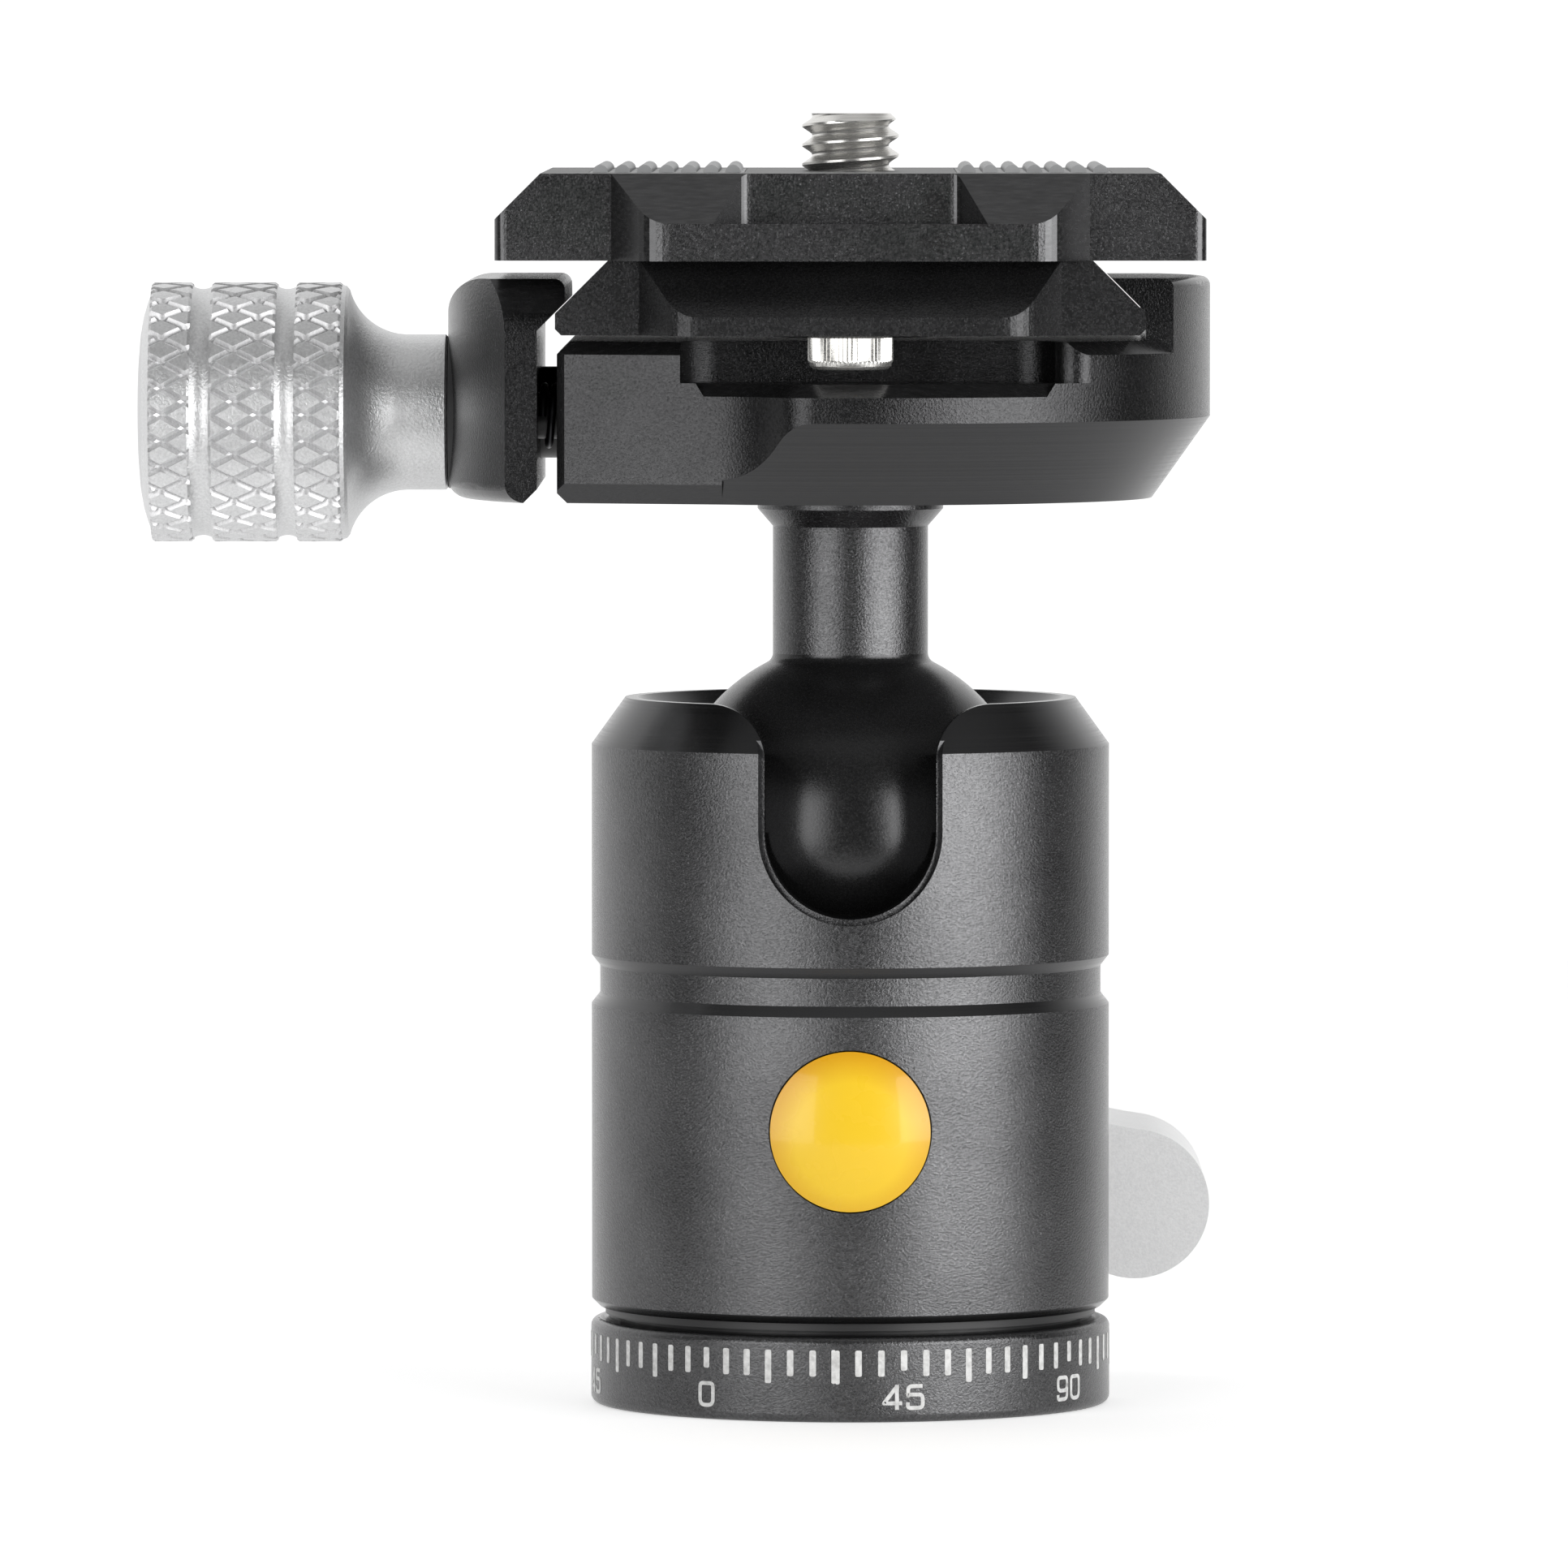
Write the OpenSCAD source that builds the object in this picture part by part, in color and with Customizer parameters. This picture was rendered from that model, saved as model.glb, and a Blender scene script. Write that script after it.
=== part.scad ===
// Compact tripod ball head with a panning base, a lever lock and a screw-knob
// dovetail clamp that holds a quick release plate.
// Millimetres. Origin at the centre of the base's bottom face, +Z up. The ball's
// notch faces -Y, the clamp knob -X and the lock lever +Y.

/* [Base] */
// Radial step by which the base disc stands beyond the housing
base_proud = 0.05; // [0:0.05:0.5]
// Height of the base disc
base_h = 5.6; // [4.6:0.1:6.6]
// Radius of the base disc's edges
base_edge_r = 0.55; // [0.3:0.05:0.8]
// Radius of the tripod thread's bore, 3/8 in nominal
tripod_bore_r = 4.76; // [4.5:0.01:5]
// Depth of the tripod thread
tripod_depth = 9; // [7:0.5:9.5]
// Diameter of the pan spindle
spindle_d = 16; // [14:0.5:18]
// Thickness of the slip washer between base and housing
lower_washer_t = 0.3; // [0.2:0.05:0.5]
// Thickness of the slip washer under the pan nut
upper_washer_t = 0.2; // [0.1:0.05:0.4]
// Diameter of the bottom cover's rim, the neck over the base disc
cover_rim_d = 32.2; // [30:0.1:33]
// Height of the bottom cover's rim
cover_rim_h = 0.5; // [0.4:0.1:1.2]
// Height of the bottom cover's plug inside the housing
cover_plug_h = 2; // [1.5:0.1:2.5]
// Diameter of the pan nut
nut_d = 22; // [20:0.5:24]
// Height of the pan nut
nut_h = 2; // [1.8:0.1:2.4]
// Width of the pan nut's spanner slots
nut_slot_w = 2.4; // [1.6:0.1:3]

/* [Housing] */
// Diameter of the housing
housing_d = 34; // [32:0.1:36]
// Height of the housing
housing_h = 40; // [38:0.1:42]
// Diameter of the housing's bore
bore_d = 24.6; // [24.3:0.1:25.4]
// Chamfer of the housing's bottom edge
housing_chamfer = 0.5; // [0.2:0.1:0.8]
// Outer radius of the top rim
rim_r = 14.8; // [14.4:0.1:15.4]
// Width of the flat on the top rim
rim_land = 0.8; // [0.4:0.1:1.2]
// Height of the cone below the top rim
shoulder_h = 3.05; // [2.5:0.05:4.5]
// Depth of the ball's mouth below the top rim
mouth_depth = 3.3; // [2.8:0.1:3.8]
// Height of the groove's lower edge above the housing's bottom
groove_up = 19.9; // [18:0.1:20.5]
// Width of the groove
groove_w = 3.2; // [2:0.1:4]
// Depth of the groove
groove_depth = 0.55; // [0.3:0.05:0.8]
// Height of the groove's lower bevel
groove_low_bevel = 0.7; // [0.3:0.1:0.9]
// Height of the groove's upper bevel
groove_top_bevel = 0.7; // [0.2:0.1:0.9]
// Width of the notch that the stem drops into
notch_w = 11.14; // [10.9:0.02:12]
// Height of the notch's round end above the ball's centre
notch_lift = 0.2; // [0:0.05:0.25]
// Radius of the notch's rounded top corners
notch_flare_r = 3.5; // [2.5:0.1:4]
// Width of the step around the notch
notch_step_w = 0.4; // [0.2:0.05:0.6]
// Depth of the step around the notch
notch_step_depth = 0.6; // [0.3:0.05:1]

/* [Badge] */
// Diameter of the badge
badge_d = 10.4; // [9:0.1:12]
// Height of the badge's crown
badge_crown = 0.9; // [0.5:0.1:1.4]
// Thickness of the badge at its edge
badge_edge_t = 1.4; // [1.2:0.1:1.6]
// Depth of the badge's seat behind the housing's front
badge_seat_depth = 1.4; // [1.2:0.1:2]
// Clearance around the badge
badge_gap = 0.1; // [0.05:0.05:0.2]

/* [Ball and stem] */
// Diameter of the ball
ball_d = 24; // [23.4:0.1:24.2]
// Depth of the ball's centre below the top rim
ball_drop = 8.4; // [8:0.1:8.8]
// Clearance of the ball in its seat and cup
ball_gap = 0.05; // [0.02:0.01:0.1]
// Height of the flat under the ball
ball_flat_h = 0.35; // [0.2:0.05:0.5]
// Diameter of the stem
stem_d = 10.2; // [9.4:0.1:10.3]
// Radius of the fillet where stem and ball meet
stem_fillet_r = 0.7; // [0.4:0.05:0.75]
// Distance from the ball's centre to the clamp's underside
stem_reach = 21.55; // [21.45:0.05:24]
// Diameter of the band under the clamp
band_d = 12.2; // [11.6:0.1:13]
// Height of the band under the clamp
band_h = 0.75; // [0.6:0.05:1.5]
// Height of the cone between stem and band
band_cone_h = 1.15; // [0.6:0.05:1.4]

/* [Lock] */
// Height of the lock shaft above the housing's bottom
lock_up = 12.5; // [11.8:0.1:12.8]
// Diameter of the lock shaft in its bush
shaft_d = 8; // [7:0.1:8.4]
// Diameter of the lock shaft's thread
shaft_thread_d = 4.9; // [4:0.1:5]
// Diameter of the collar inside the bush
shaft_collar_d = 10; // [9.4:0.1:10.6]
// Thickness of the collar inside the bush
shaft_collar_t = 1.75; // [1:0.05:2]
// Depth of the flat on the lock shaft
shaft_flat = 0.8; // [0.4:0.1:1.2]
// Outer diameter of the bush
bush_d = 12; // [11.4:0.1:13]
// Diameter of the bush's flange
bush_flange_d = 14; // [13.4:0.1:15]
// Thickness of the bush's flange
bush_flange_t = 2.3; // [2:0.1:2.8]
// Depth of the bush's flat seat in the housing's back
bush_seat_depth = 1.4; // [1.2:0.1:1.8]
// Lead of the lock shaft's quick thread
lock_lead = 4; // [3:0.5:5]
// Swing of the lock lever, degrees
lever_swing = 75; // [60:5:80]
// Slope of the wedge, degrees
wedge_angle = 12; // [9:0.5:12]
// Length of the wedge
wedge_l = 14; // [12:0.5:15]
// Width of the wedge
wedge_w = 12; // [11:0.5:13]
// Height of the wedge at its middle
wedge_h = 9.2; // [8.8:0.1:9.4]
// Clearance beside the wedge
wedge_side_gap = 0.1; // [0.05:0.01:0.2]
// Gap of faces that slide on each other
slide_gap = 0.02; // [0.01:0.01:0.05]
// Clearance of sliding blocks in the housing's bore
block_gap = 0.1; // [0.05:0.01:0.2]
// Gap between the skirts of the brake shoe and the cup's carrier
skirt_gap = 2.8; // [2:0.1:3.4]
// Wall between the ball's relief and the carrier's sides
cup_inset = 0.4; // [0.2:0.1:0.8]
// Height of the cup's foot above the ball's lowest point
cup_foot = 0.9; // [0.7:0.05:1.2]
// Height of the cup's top above the ball's lowest point
cup_reach = 5.3; // [4.5:0.1:5.8]
// Diameter of the cup's hole
cup_hole_d = 13; // [11:0.5:15]
// Clearance under the ball in the carrier
ball_relief = 0.3; // [0.2:0.05:0.6]

/* [Lever] */
// Radius of the lever's hub
lever_hub_r = 6.2; // [5.6:0.1:7]
// Radius of the lever's tip
lever_tip_r = 5; // [4.4:0.1:5.4]
// Length of the lever between the centres of hub and tip
lever_arm = 20.4; // [19:0.1:22]
// Angle of the lever below the horizontal when locked
lever_rest = 21; // [15:1:25]
// Radius of the lever's hollow sides
lever_waist_r = 30; // [20:1:60]
// Depth of the lever along its shaft
lever_depth = 17; // [15:0.5:17.5]
// Thickness of the washer under the lever
lever_washer_t = 1; // [0.8:0.1:1.4]
// Thickness of the lever's wall under its screw's head
lever_web = 1.4; // [1:0.1:2]
// Diameter of the lever screw
lever_screw_d = 4; // [3:0.5:5]
// Diameter of the lever screw's head
lever_head_d = 7; // [6:0.1:7.6]
// Height of the lever screw's head
lever_head_h = 2.5; // [2:0.1:3]
// Depth of the lever screw's head below the lever's end
lever_head_sink = 0.5; // [0.2:0.1:1]

/* [Clamp] */
// Diameter of the clamp body
clamp_d = 47.2; // [46:0.1:48]
// Height of the clamp body up to its deck
clamp_h = 10.5; // [10:0.05:11.1]
// Height of the cone under the clamp body
clamp_cone_h = 5.35; // [4:0.05:6]
// Inset of the cone under the clamp body
clamp_cone_inset = 3.8; // [3:0.1:5]
// Bevel of the deck's edges
deck_bevel = 0.85; // [0.4:0.05:1.1]
// Distance of the block's end face from the axis
block_reach = 19; // [18.6:0.1:19.2]
// Angle of the block's sides in plan
side_angle = 18; // [15:1:21]
// Bottom chamfer along the block's sides
block_side_chamfer = 1.3; // [0.8:0.1:1.6]
// Bottom chamfer of the block's end face
block_end_chamfer = 0.65; // [0.4:0.05:1]
// Chamfer of the block's upright corners
block_corner_chamfer = 0.5; // [0.3:0.05:0.8]
// Radius of the scoops' hollow beside the block
scoop_hollow_r = 9; // [7.5:0.5:10.5]
// Radius of the scoops' outer corner
scoop_round_r = 3; // [2.4:0.1:3.6]
// Steepest angle of the scoops in plan
scoop_steep = 54; // [50:1:58]
// Angle at which the scoops leave the clamp's circle
scoop_leave = 6; // [4:0.5:8]
// Reach of the stop pockets towards the sliding jaw
pocket_left = 11; // [9:0.1:12]
// Reach of the stop pockets towards the fixed jaw
pocket_right = 13.2; // [12:0.1:13.5]
// Distance of the stop pockets' walls from the axis
pocket_wall = 13.75; // [13:0.05:13.9]
// Depth of the stop pockets
pocket_depth = 2.65; // [2.35:0.05:3]
// Radius of the stop pockets' inner corners
pocket_r = 2.4; // [1.5:0.1:2.4]
// Radius of the stop pockets' outer corner
pocket_round_r = 1.4; // [0.8:0.1:1.5]
// Diameter of the clamp bolt
bolt_d = 5; // [4:0.5:6]
// Diameter of the clamp bolt's head
bolt_head_d = 10; // [9:0.1:10.5]
// Length of the clamp bolt
bolt_l = 22; // [16:0.5:24]

/* [Jaws] */
// Height of the jaws above the deck
jaw_rise = 4; // [3.5:0.1:4.5]
// Half length of the fixed jaw
fixed_jaw_half_l = 10.8; // [10:0.1:12.5]
// Radius of the fixed jaw's top outer edge
fixed_jaw_edge_r = 0.6; // [0.3:0.1:1]
// Clearance of the jaws' slopes on the dovetail
jaw_gap = 0.05; // [0.02:0.01:0.1]
// Clearance between the dovetail's edge and the fixed jaw's root
root_gap = 0.2; // [0.1:0.05:0.4]
// Gap between block and sliding jaw when clamped
jaw_open_gap = 1.3; // [1:0.1:1.6]
// Length of the sliding jaw
jaw_l = 30; // [26:0.5:32]
// Thickness of the sliding jaw at its middle
jaw_t = 6.1; // [5.5:0.1:6.6]
// Radius of the sliding jaw's outer face
jaw_face_r = 30; // [26:0.5:36]
// Radius of the sliding jaw's top outer edge
jaw_top_r = 2.6; // [1.5:0.1:2.8]
// Radius with which the sliding jaw's ends lean back at the top
jaw_end_r = 4.4; // [4:0.1:5]
// Height over which the sliding jaw's ends lean back
jaw_end_rise = 3.6; // [3:0.1:3.8]
// Radius of the sliding jaw's bottom outer edge
jaw_bottom_r = 1.2; // [0.6:0.1:1.8]
// Distance of the sliding jaw's beak from the axis when clamped
beak_x = 18.5; // [17.8:0.1:18.7]
// Radius of the beak's top edge
beak_r = 0.7; // [0.4:0.1:1]
// Bottom chamfer of the sliding jaw's inner face
jaw_foot_chamfer = 0.9; // [0.4:0.1:1.4]
// Travel of the sliding jaw
jaw_travel = 3.5; // [3:0.1:4]
// Distance of the guide pins from the clamp screw
pin_y = 9.5; // [8.5:0.1:11]
// Diameter of the guide pins
pin_d = 3; // [2.4:0.1:3.4]
// Depth of the guide pins in the sliding jaw
pin_grip = 3; // [2:0.1:3.2]
// Length of the guide pins inside the block
pin_reach = 12; // [10:0.5:14]
// Diameter of the springs' seats in the block
spring_seat_d = 4.6; // [4.4:0.1:5.2]
// Depth of the springs' seats in the block
spring_seat_depth = 4.5; // [4:0.1:5.5]
// Outer diameter of the springs
spring_d = 4.3; // [4.2:0.05:4.5]
// Diameter of the springs' wire
spring_wire_d = 0.5; // [0.4:0.05:0.55]
// Turns of each spring
spring_turns = 5; // [4:1:6]

/* [Clamp knob] */
// Height of the clamp screw above the clamp's underside
knob_up = 5.55; // [5.15:0.05:5.75]
// Diameter of the clamp screw
screw_d = 6; // [5:0.1:6]
// Pitch of the clamp screw
screw_pitch = 1; // [0.8:0.1:1.25]
// Length of the clamp screw inside the block
screw_reach = 12; // [9:0.5:12.5]
// Thickness of the washer between knob and jaw
knob_washer_t = 0.9; // [0.6:0.1:1.2]
// Diameter of the washer between knob and jaw
knob_washer_d = 10; // [9:0.1:10.4]
// Depth of the washer's flat seat in the jaw
knob_seat_depth = 1; // [0.8:0.05:1]
// Diameter of the knob
knob_d = 17; // [15:0.1:18]
// Radius of the knob's outer edge
knob_edge_r = 0.9; // [0.5:0.1:1.2]
// Widths of the outer, middle and inner knurled bands
knob_band_outer = 2.7; // [2:0.1:3.4]
// Width of the middle knurled band
knob_band_middle = 4.3; // [3.5:0.1:5]
// Width of the inner knurled band
knob_band_inner = 3; // [2:0.1:4]
// Width of the grooves between the bands
knob_groove_w = 1.25; // [0.8:0.05:1.6]
// Depth of the grooves between the bands
knob_groove_depth = 0.4; // [0.2:0.05:0.6]
// Radius of the knob's neck
knob_neck_r = 5.1; // [4.6:0.1:5.4]
// Radius of the hollow between knob and neck
knob_flare_r = 4; // [3:0.1:5]
// Length of the knob's neck
knob_neck_l = 2.6; // [1.5:0.1:3.5]
// Size of the bevel between the inner band and the hollow
knob_shoulder = 0.45; // [0.2:0.05:0.8]
// Depth of the screw in the knob
knob_bore_depth = 13; // [10:0.5:15]

/* [Plate] */
// Length of the plate
plate_l = 50; // [48:0.5:54]
// Width of the plate
plate_w = 45.8; // [45:0.1:48]
// Width of the dovetail at its edges
dovetail_w = 38; // [37.9:0.01:38.1]
// Height of the dovetail's upright edge
dovetail_edge_h = 1.4; // [1.2:0.1:1.8]
// Height of the dovetail
dovetail_h = 4.8; // [4.5:0.1:5.2]
// Chamfer of the dovetail's bottom edges
dovetail_chamfer = 0.4; // [0.2:0.1:0.6]
// Height of the plate's upper part
wing_h = 5.6; // [5.1:0.05:6.1]
// Size of the chamfer along the plate's sides
wing_chamfer = 2.95; // [2.4:0.05:3.3]
// Gap between deck and plate when clamped
plate_lift = 0.5; // [0.35:0.05:0.65]
// Depth of the plate's end chamfers
end_chamfer = 3.2; // [2.6:0.1:3.4]
// Half width of the upper tongue at its front
wing_tongue_half_w = 12.8; // [12:0.1:13.4]
// Half width of the lower tongue at its front
dovetail_tongue_half_w = 11; // [9:0.1:11.5]
// Height of the lower tongue's upright lip
dovetail_lip_h = 1.2; // [0.9:0.1:1.5]
// Radius of the tongues' corners
tongue_r = 2.5; // [1.5:0.1:3]
// Angle of the tongues' sides from the direction in which the plate slides
tongue_side = 39; // [35:1:50]
// Half width of the window in the upper tongue
window_half_w = 6.9; // [5:0.1:7.2]
// Flare of the window towards its front, each side
window_flare = 1.9; // [1:0.1:2.8]
// Radius of the plate's upright corners
plate_corner_r = 0.8; // [0.4:0.1:1.2]
// Distance of the rubber pads from the middle
pad_x = 6.9; // [6:0.1:7.5]
// Pitch of the rubber pads' ridges
pad_pitch = 1.43; // [1.3:0.01:1.5]
// Ridges on each rubber pad
pad_ridges = 7; // [5:1:8]
// Length of the rubber pads
pad_l = 29; // [24:0.5:32]
// Thickness of the rubber pads under their ridges
pad_t = 0.6; // [0.4:0.1:1]
// Height of the ridges above the plate
ridge_h = 0.5; // [0.3:0.05:0.6]
// Clearance around the rubber pads
pad_gap = 0.05; // [0.03:0.01:0.1]

/* [Screws in the plate] */
// Diameter of the camera screw, 1/4 in nominal
camera_screw_d = 6.35; // [6.3:0.01:6.4]
// Height of the camera screw above the plate
camera_screw_rise = 3.75; // [3.2:0.05:4.5]
// Diameter of the camera screw's neck
camera_neck_d = 4.9; // [4.4:0.1:5]
// Diameter of the camera screw's head
camera_head_d = 12.8; // [11:0.1:14]
// Height of the camera screw's head
camera_head_h = 2.9; // [2.4:0.1:3]
// Gap between the camera screw's head and the deck
camera_head_clear = 0.8; // [0.5:0.1:1]
// Clearance around the camera screw's head
camera_head_gap = 0.4; // [0.2:0.1:0.8]
// Width of the slot in the camera screw's head
camera_slot_w = 1.4; // [1:0.1:2]
// Depth of the slot in the camera screw's head
camera_slot_depth = 1.2; // [0.8:0.1:1.6]
// Distance of the stop screws' axes from the plate's ends
stop_inset = 3; // [2.9:0.1:3.4]
// Diameter of the stop screws' heads
stop_head_d = 5.5; // [4.6:0.1:5.8]
// Height of the stop screws' heads
stop_head_h = 2.2; // [1.8:0.1:2.3]
// Diameter of the stop screws' threads
stop_screw_d = 3; // [2:0.1:3]
// Length of the stop screws' threads
stop_screw_l = 2.4; // [1.6:0.1:2.4]

/* [Hidden] */
$fn = 96;

// Clearances that every fit of its kind shares
running_gap = 0.05;
thread_gap = 0.02;
// How far a cut runs past the solid that it cuts
past = 1;

// Colours of the finishes
black_metal = "#2c2c2e";
dark_metal = "#1b1b1d";
silver_metal = "#b9babc";
bright_steel = "#d2d2d4";
slip_plastic = "#d8d2c0";
rubber_grey = "#8d8f92";
badge_amber = "#f6a712";

// Radii
spindle_r = spindle_d / 2;
cover_rim_r = cover_rim_d / 2;
housing_r = housing_d / 2;
base_r = housing_r + base_proud;
bore_r = bore_d / 2;
ball_r = ball_d / 2;
seat_r = ball_r + ball_gap;
stem_r = stem_d / 2;
band_r = band_d / 2;
badge_r = badge_d / 2;
shaft_r = shaft_d / 2;
bush_r = bush_d / 2;
clamp_r = clamp_d / 2;
pin_r = pin_d / 2;
screw_r = screw_d / 2;
knob_r = knob_d / 2;
bolt_r = bolt_d / 2;

// Heights, from the base's bottom face upwards
cover_z = base_h + lower_washer_t;
housing_z = cover_z + cover_rim_h;
cover_top = housing_z + cover_plug_h;
nut_z = cover_top + upper_washer_t;
spindle_top = nut_z + nut_h;
lock_z = housing_z + lock_up;
housing_top = housing_z + housing_h;
ball_z = housing_top - ball_drop;
mouth_z = housing_top - mouth_depth;
mouth_r = sqrt(pow(seat_r, 2) - pow(mouth_z - ball_z, 2));
groove_z = housing_z + groove_up;
notch_z = ball_z + notch_lift;
clamp_z = ball_z + stem_reach;
deck_z = clamp_z + clamp_h;
jaw_top = deck_z + jaw_rise;
knob_z = clamp_z + knob_up;
plate_z = deck_z + plate_lift;
wing_z = plate_z + dovetail_h;
plate_top = wing_z + wing_h;

// Lock mechanism: the lever turns the shaft, the wedge runs along it, and the
// carrier and the brake shoe move by the wedge's travel times its slope
guide_r = bore_r - block_gap;
wedge_slope = tan(wedge_angle);
wedge_travel = lock_lead * lever_swing / 360;
channel_w = wedge_w + 2 * wedge_side_gap;
ball_bottom = ball_z - ball_r;
cup_z = ball_bottom + cup_foot;
skirt_top = lock_z - skirt_gap / 2;
skirt_bottom = lock_z + skirt_gap / 2;
bush_seat_y = housing_r - bush_seat_depth;
bush_inner_y = bore_r + block_gap;
bush_outer_y = bush_seat_y + bush_flange_t;
lever_y = bush_outer_y + running_gap + lever_washer_t + running_gap;
lever_end_y = lever_y + lever_depth;
lever_head_y = lever_end_y - lever_head_sink - lever_head_h;
shaft_end_y = lever_head_y - lever_web;

// Jaws
jaw_inner_x = block_reach + jaw_open_gap;
jaw_outer_x = jaw_inner_x + jaw_t;
dovetail_line = dovetail_w / 2 + plate_z + dovetail_edge_h;
slope_gap = jaw_gap * sqrt(2);
root_x = dovetail_w / 2 + root_gap;

// Knob, measured from its outer end
knob_l = knob_edge_r + knob_band_outer + knob_band_middle + knob_band_inner + 2 * knob_groove_w
         + knob_shoulder + knob_flare_l() + knob_neck_l;
knob_seat_x = jaw_outer_x - knob_seat_depth;
knob_washer_x = knob_seat_x + running_gap;
knob_inner_x = knob_washer_x + knob_washer_t + running_gap;
knob_outer_x = knob_inner_x + knob_l;

// Plate
plate_face_y = plate_l / 2 - end_chamfer;
stop_y = plate_l / 2 - stop_inset;
pad_w = pad_pitch * pad_ridges;
pad_z = plate_top - pad_t;
camera_head_z = plate_z - plate_lift + camera_head_clear;
camera_head_top = camera_head_z + camera_head_h;

// The knob's inner shoulder and the hollow to its neck, as an arc's height and length
function knob_flare_angle() =
    acos(1 - (knob_r - knob_shoulder - knob_neck_r) / knob_flare_r);
function knob_flare_l() = knob_flare_r * sin(knob_flare_angle());

// Points of an arc about (x, y), from angle a to angle b
function arc(x, y, r, a, b, steps = 10) =
    [for (i = [0:steps]) let (t = a + (b - a) * i / steps) [x + r * cos(t), y + r * sin(t)]];

// What a rounded corner takes off, about the centre of its radius
module corner_off(r) {
    difference() {
        square(r + past);
        circle(r);
    }
}

// An upright ring from z upwards
module ring(r_out, r_in, z, h) {
    translate([0, 0, z])
    difference() {
        cylinder(r = r_out, h = h);
        translate([0, 0, -past]) cylinder(r = r_in, h = h + 2 * past);
    }
}

// An upright rod from z upwards
module rod(r, z, h) {
    translate([0, 0, z]) cylinder(r = r, h = h);
}

// What stands on +Z laid along +X, from x at height z
module along_x(x, y, z) {
    translate([x, y, z]) rotate([0, 90, 0]) children();
}

// What stands on +Z laid along +Y, from y at the lock shaft's height
module along_lock(y) {
    translate([0, y, lock_z]) rotate([-90, 0, 0]) children();
}

// A profile in X and Z drawn out along Y from -y to y
module across_y(y) {
    translate([0, y, 0]) rotate([90, 0, 0]) linear_extrude(2 * y) children();
}

// A profile in Y and Z drawn out along X from x0 to x1
module across_x(x0, x1) {
    translate([x0, 0, 0]) rotate([90, 0, 90]) linear_extrude(x1 - x0) children();
}

// Front and back copies of what is drawn for the front
module front_and_back() {
    for (side = [0, 1]) mirror([0, side, 0]) children();
}

// ---- Base ----

module base_disc() {
    color(black_metal)
    difference() {
        rotate_extrude() {
            difference() {
                square([base_r, base_h]);
                translate([base_r - base_edge_r, base_h - base_edge_r]) corner_off(base_edge_r);
                translate([base_r - base_edge_r, base_edge_r])
                    mirror([0, 1, 0]) corner_off(base_edge_r);
            }
            translate([0, base_h / 2]) square([spindle_r, spindle_top - base_h / 2]);
        }
        translate([0, 0, -past]) cylinder(r = tripod_bore_r, h = tripod_depth + past);
    }
}

module lower_pan_washer() {
    color(slip_plastic)
    ring(cover_rim_r - 2 * housing_chamfer, spindle_r + running_gap, base_h, lower_washer_t);
}

module upper_pan_washer() {
    color(slip_plastic)
    ring(nut_d / 2, spindle_r + running_gap, cover_top, upper_washer_t);
}

module pan_nut() {
    color(bright_steel)
    difference() {
        ring(nut_d / 2, spindle_r + thread_gap, nut_z, nut_h);
        for (a = [0, 90])
            rotate([0, 0, a])
            for (side = [-1, 1])
                translate([side * nut_d / 2, 0, spindle_top])
                cube([nut_d / 2 - spindle_r, nut_slot_w, nut_h], center = true);
    }
}

// ---- Housing ----

module bottom_cover() {
    color(dark_metal)
    difference() {
        union() {
            rod(cover_rim_r, cover_z, cover_rim_h);
            rod(bore_r - running_gap, housing_z - cover_rim_h / 2, cover_plug_h + cover_rim_h / 2);
        }
        rod(spindle_r + running_gap, 0, housing_top);
    }
}

// The half section: the outside, and the bore, the ball's seat and its mouth inside
module housing_profile() {
    groove_r = housing_r - groove_depth;
    mouth_slope = (rim_r - rim_land - mouth_r) / mouth_depth;
    difference() {
        polygon([
            [0, housing_z],
            [housing_r - housing_chamfer, housing_z],
            [housing_r, housing_z + housing_chamfer],
            [housing_r, groove_z],
            [groove_r, groove_z + groove_low_bevel],
            [groove_r, groove_z + groove_w - groove_top_bevel],
            [housing_r, groove_z + groove_w],
            [housing_r, housing_top - shoulder_h],
            [rim_r, housing_top],
            [0, housing_top],
        ]);
        translate([0, housing_z - past]) square([bore_r, ball_z - housing_z + past]);
        translate([0, ball_z]) circle(seat_r);
        polygon([
            [0, mouth_z - past],
            [mouth_r - mouth_slope * past, mouth_z - past],
            [rim_r - rim_land + mouth_slope * past, housing_top + past],
            [0, housing_top + past],
        ]);
    }
}

// The notch's outline from the front, grown by an even width
module notch_outline(grow) {
    half_w = notch_w / 2 + grow;
    flare_r = notch_flare_r - grow;
    translate([0, notch_z]) circle(half_w);
    translate([-half_w, notch_z]) square([2 * half_w, housing_top + past - notch_z]);
    difference() {
        translate([-half_w - flare_r, housing_top - flare_r])
            square([2 * (half_w + flare_r), flare_r + past]);
        for (side = [-1, 1])
            translate([side * (half_w + flare_r), housing_top - flare_r]) circle(flare_r);
    }
}

module notch(grow, y0, y1) {
    translate([0, y1, 0]) rotate([90, 0, 0]) linear_extrude(y1 - y0) notch_outline(grow);
}

module housing() {
    color(black_metal)
    difference() {
        rotate_extrude() housing_profile();
        notch(0, -housing_r - past, 0);
        difference() {
            notch(notch_step_w, -housing_r - past, -housing_r / 2);
            rod(housing_r - notch_step_depth, housing_z, housing_h + 2 * past);
        }
        along_lock(-housing_r - past) cylinder(r = badge_r + badge_gap, h = badge_seat_depth + past);
        along_lock(bore_r / 2) cylinder(r = bush_r + thread_gap, h = housing_r);
        along_lock(bush_seat_y) cylinder(r = bush_flange_d / 2 + badge_gap, h = housing_r);
    }
}

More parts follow.
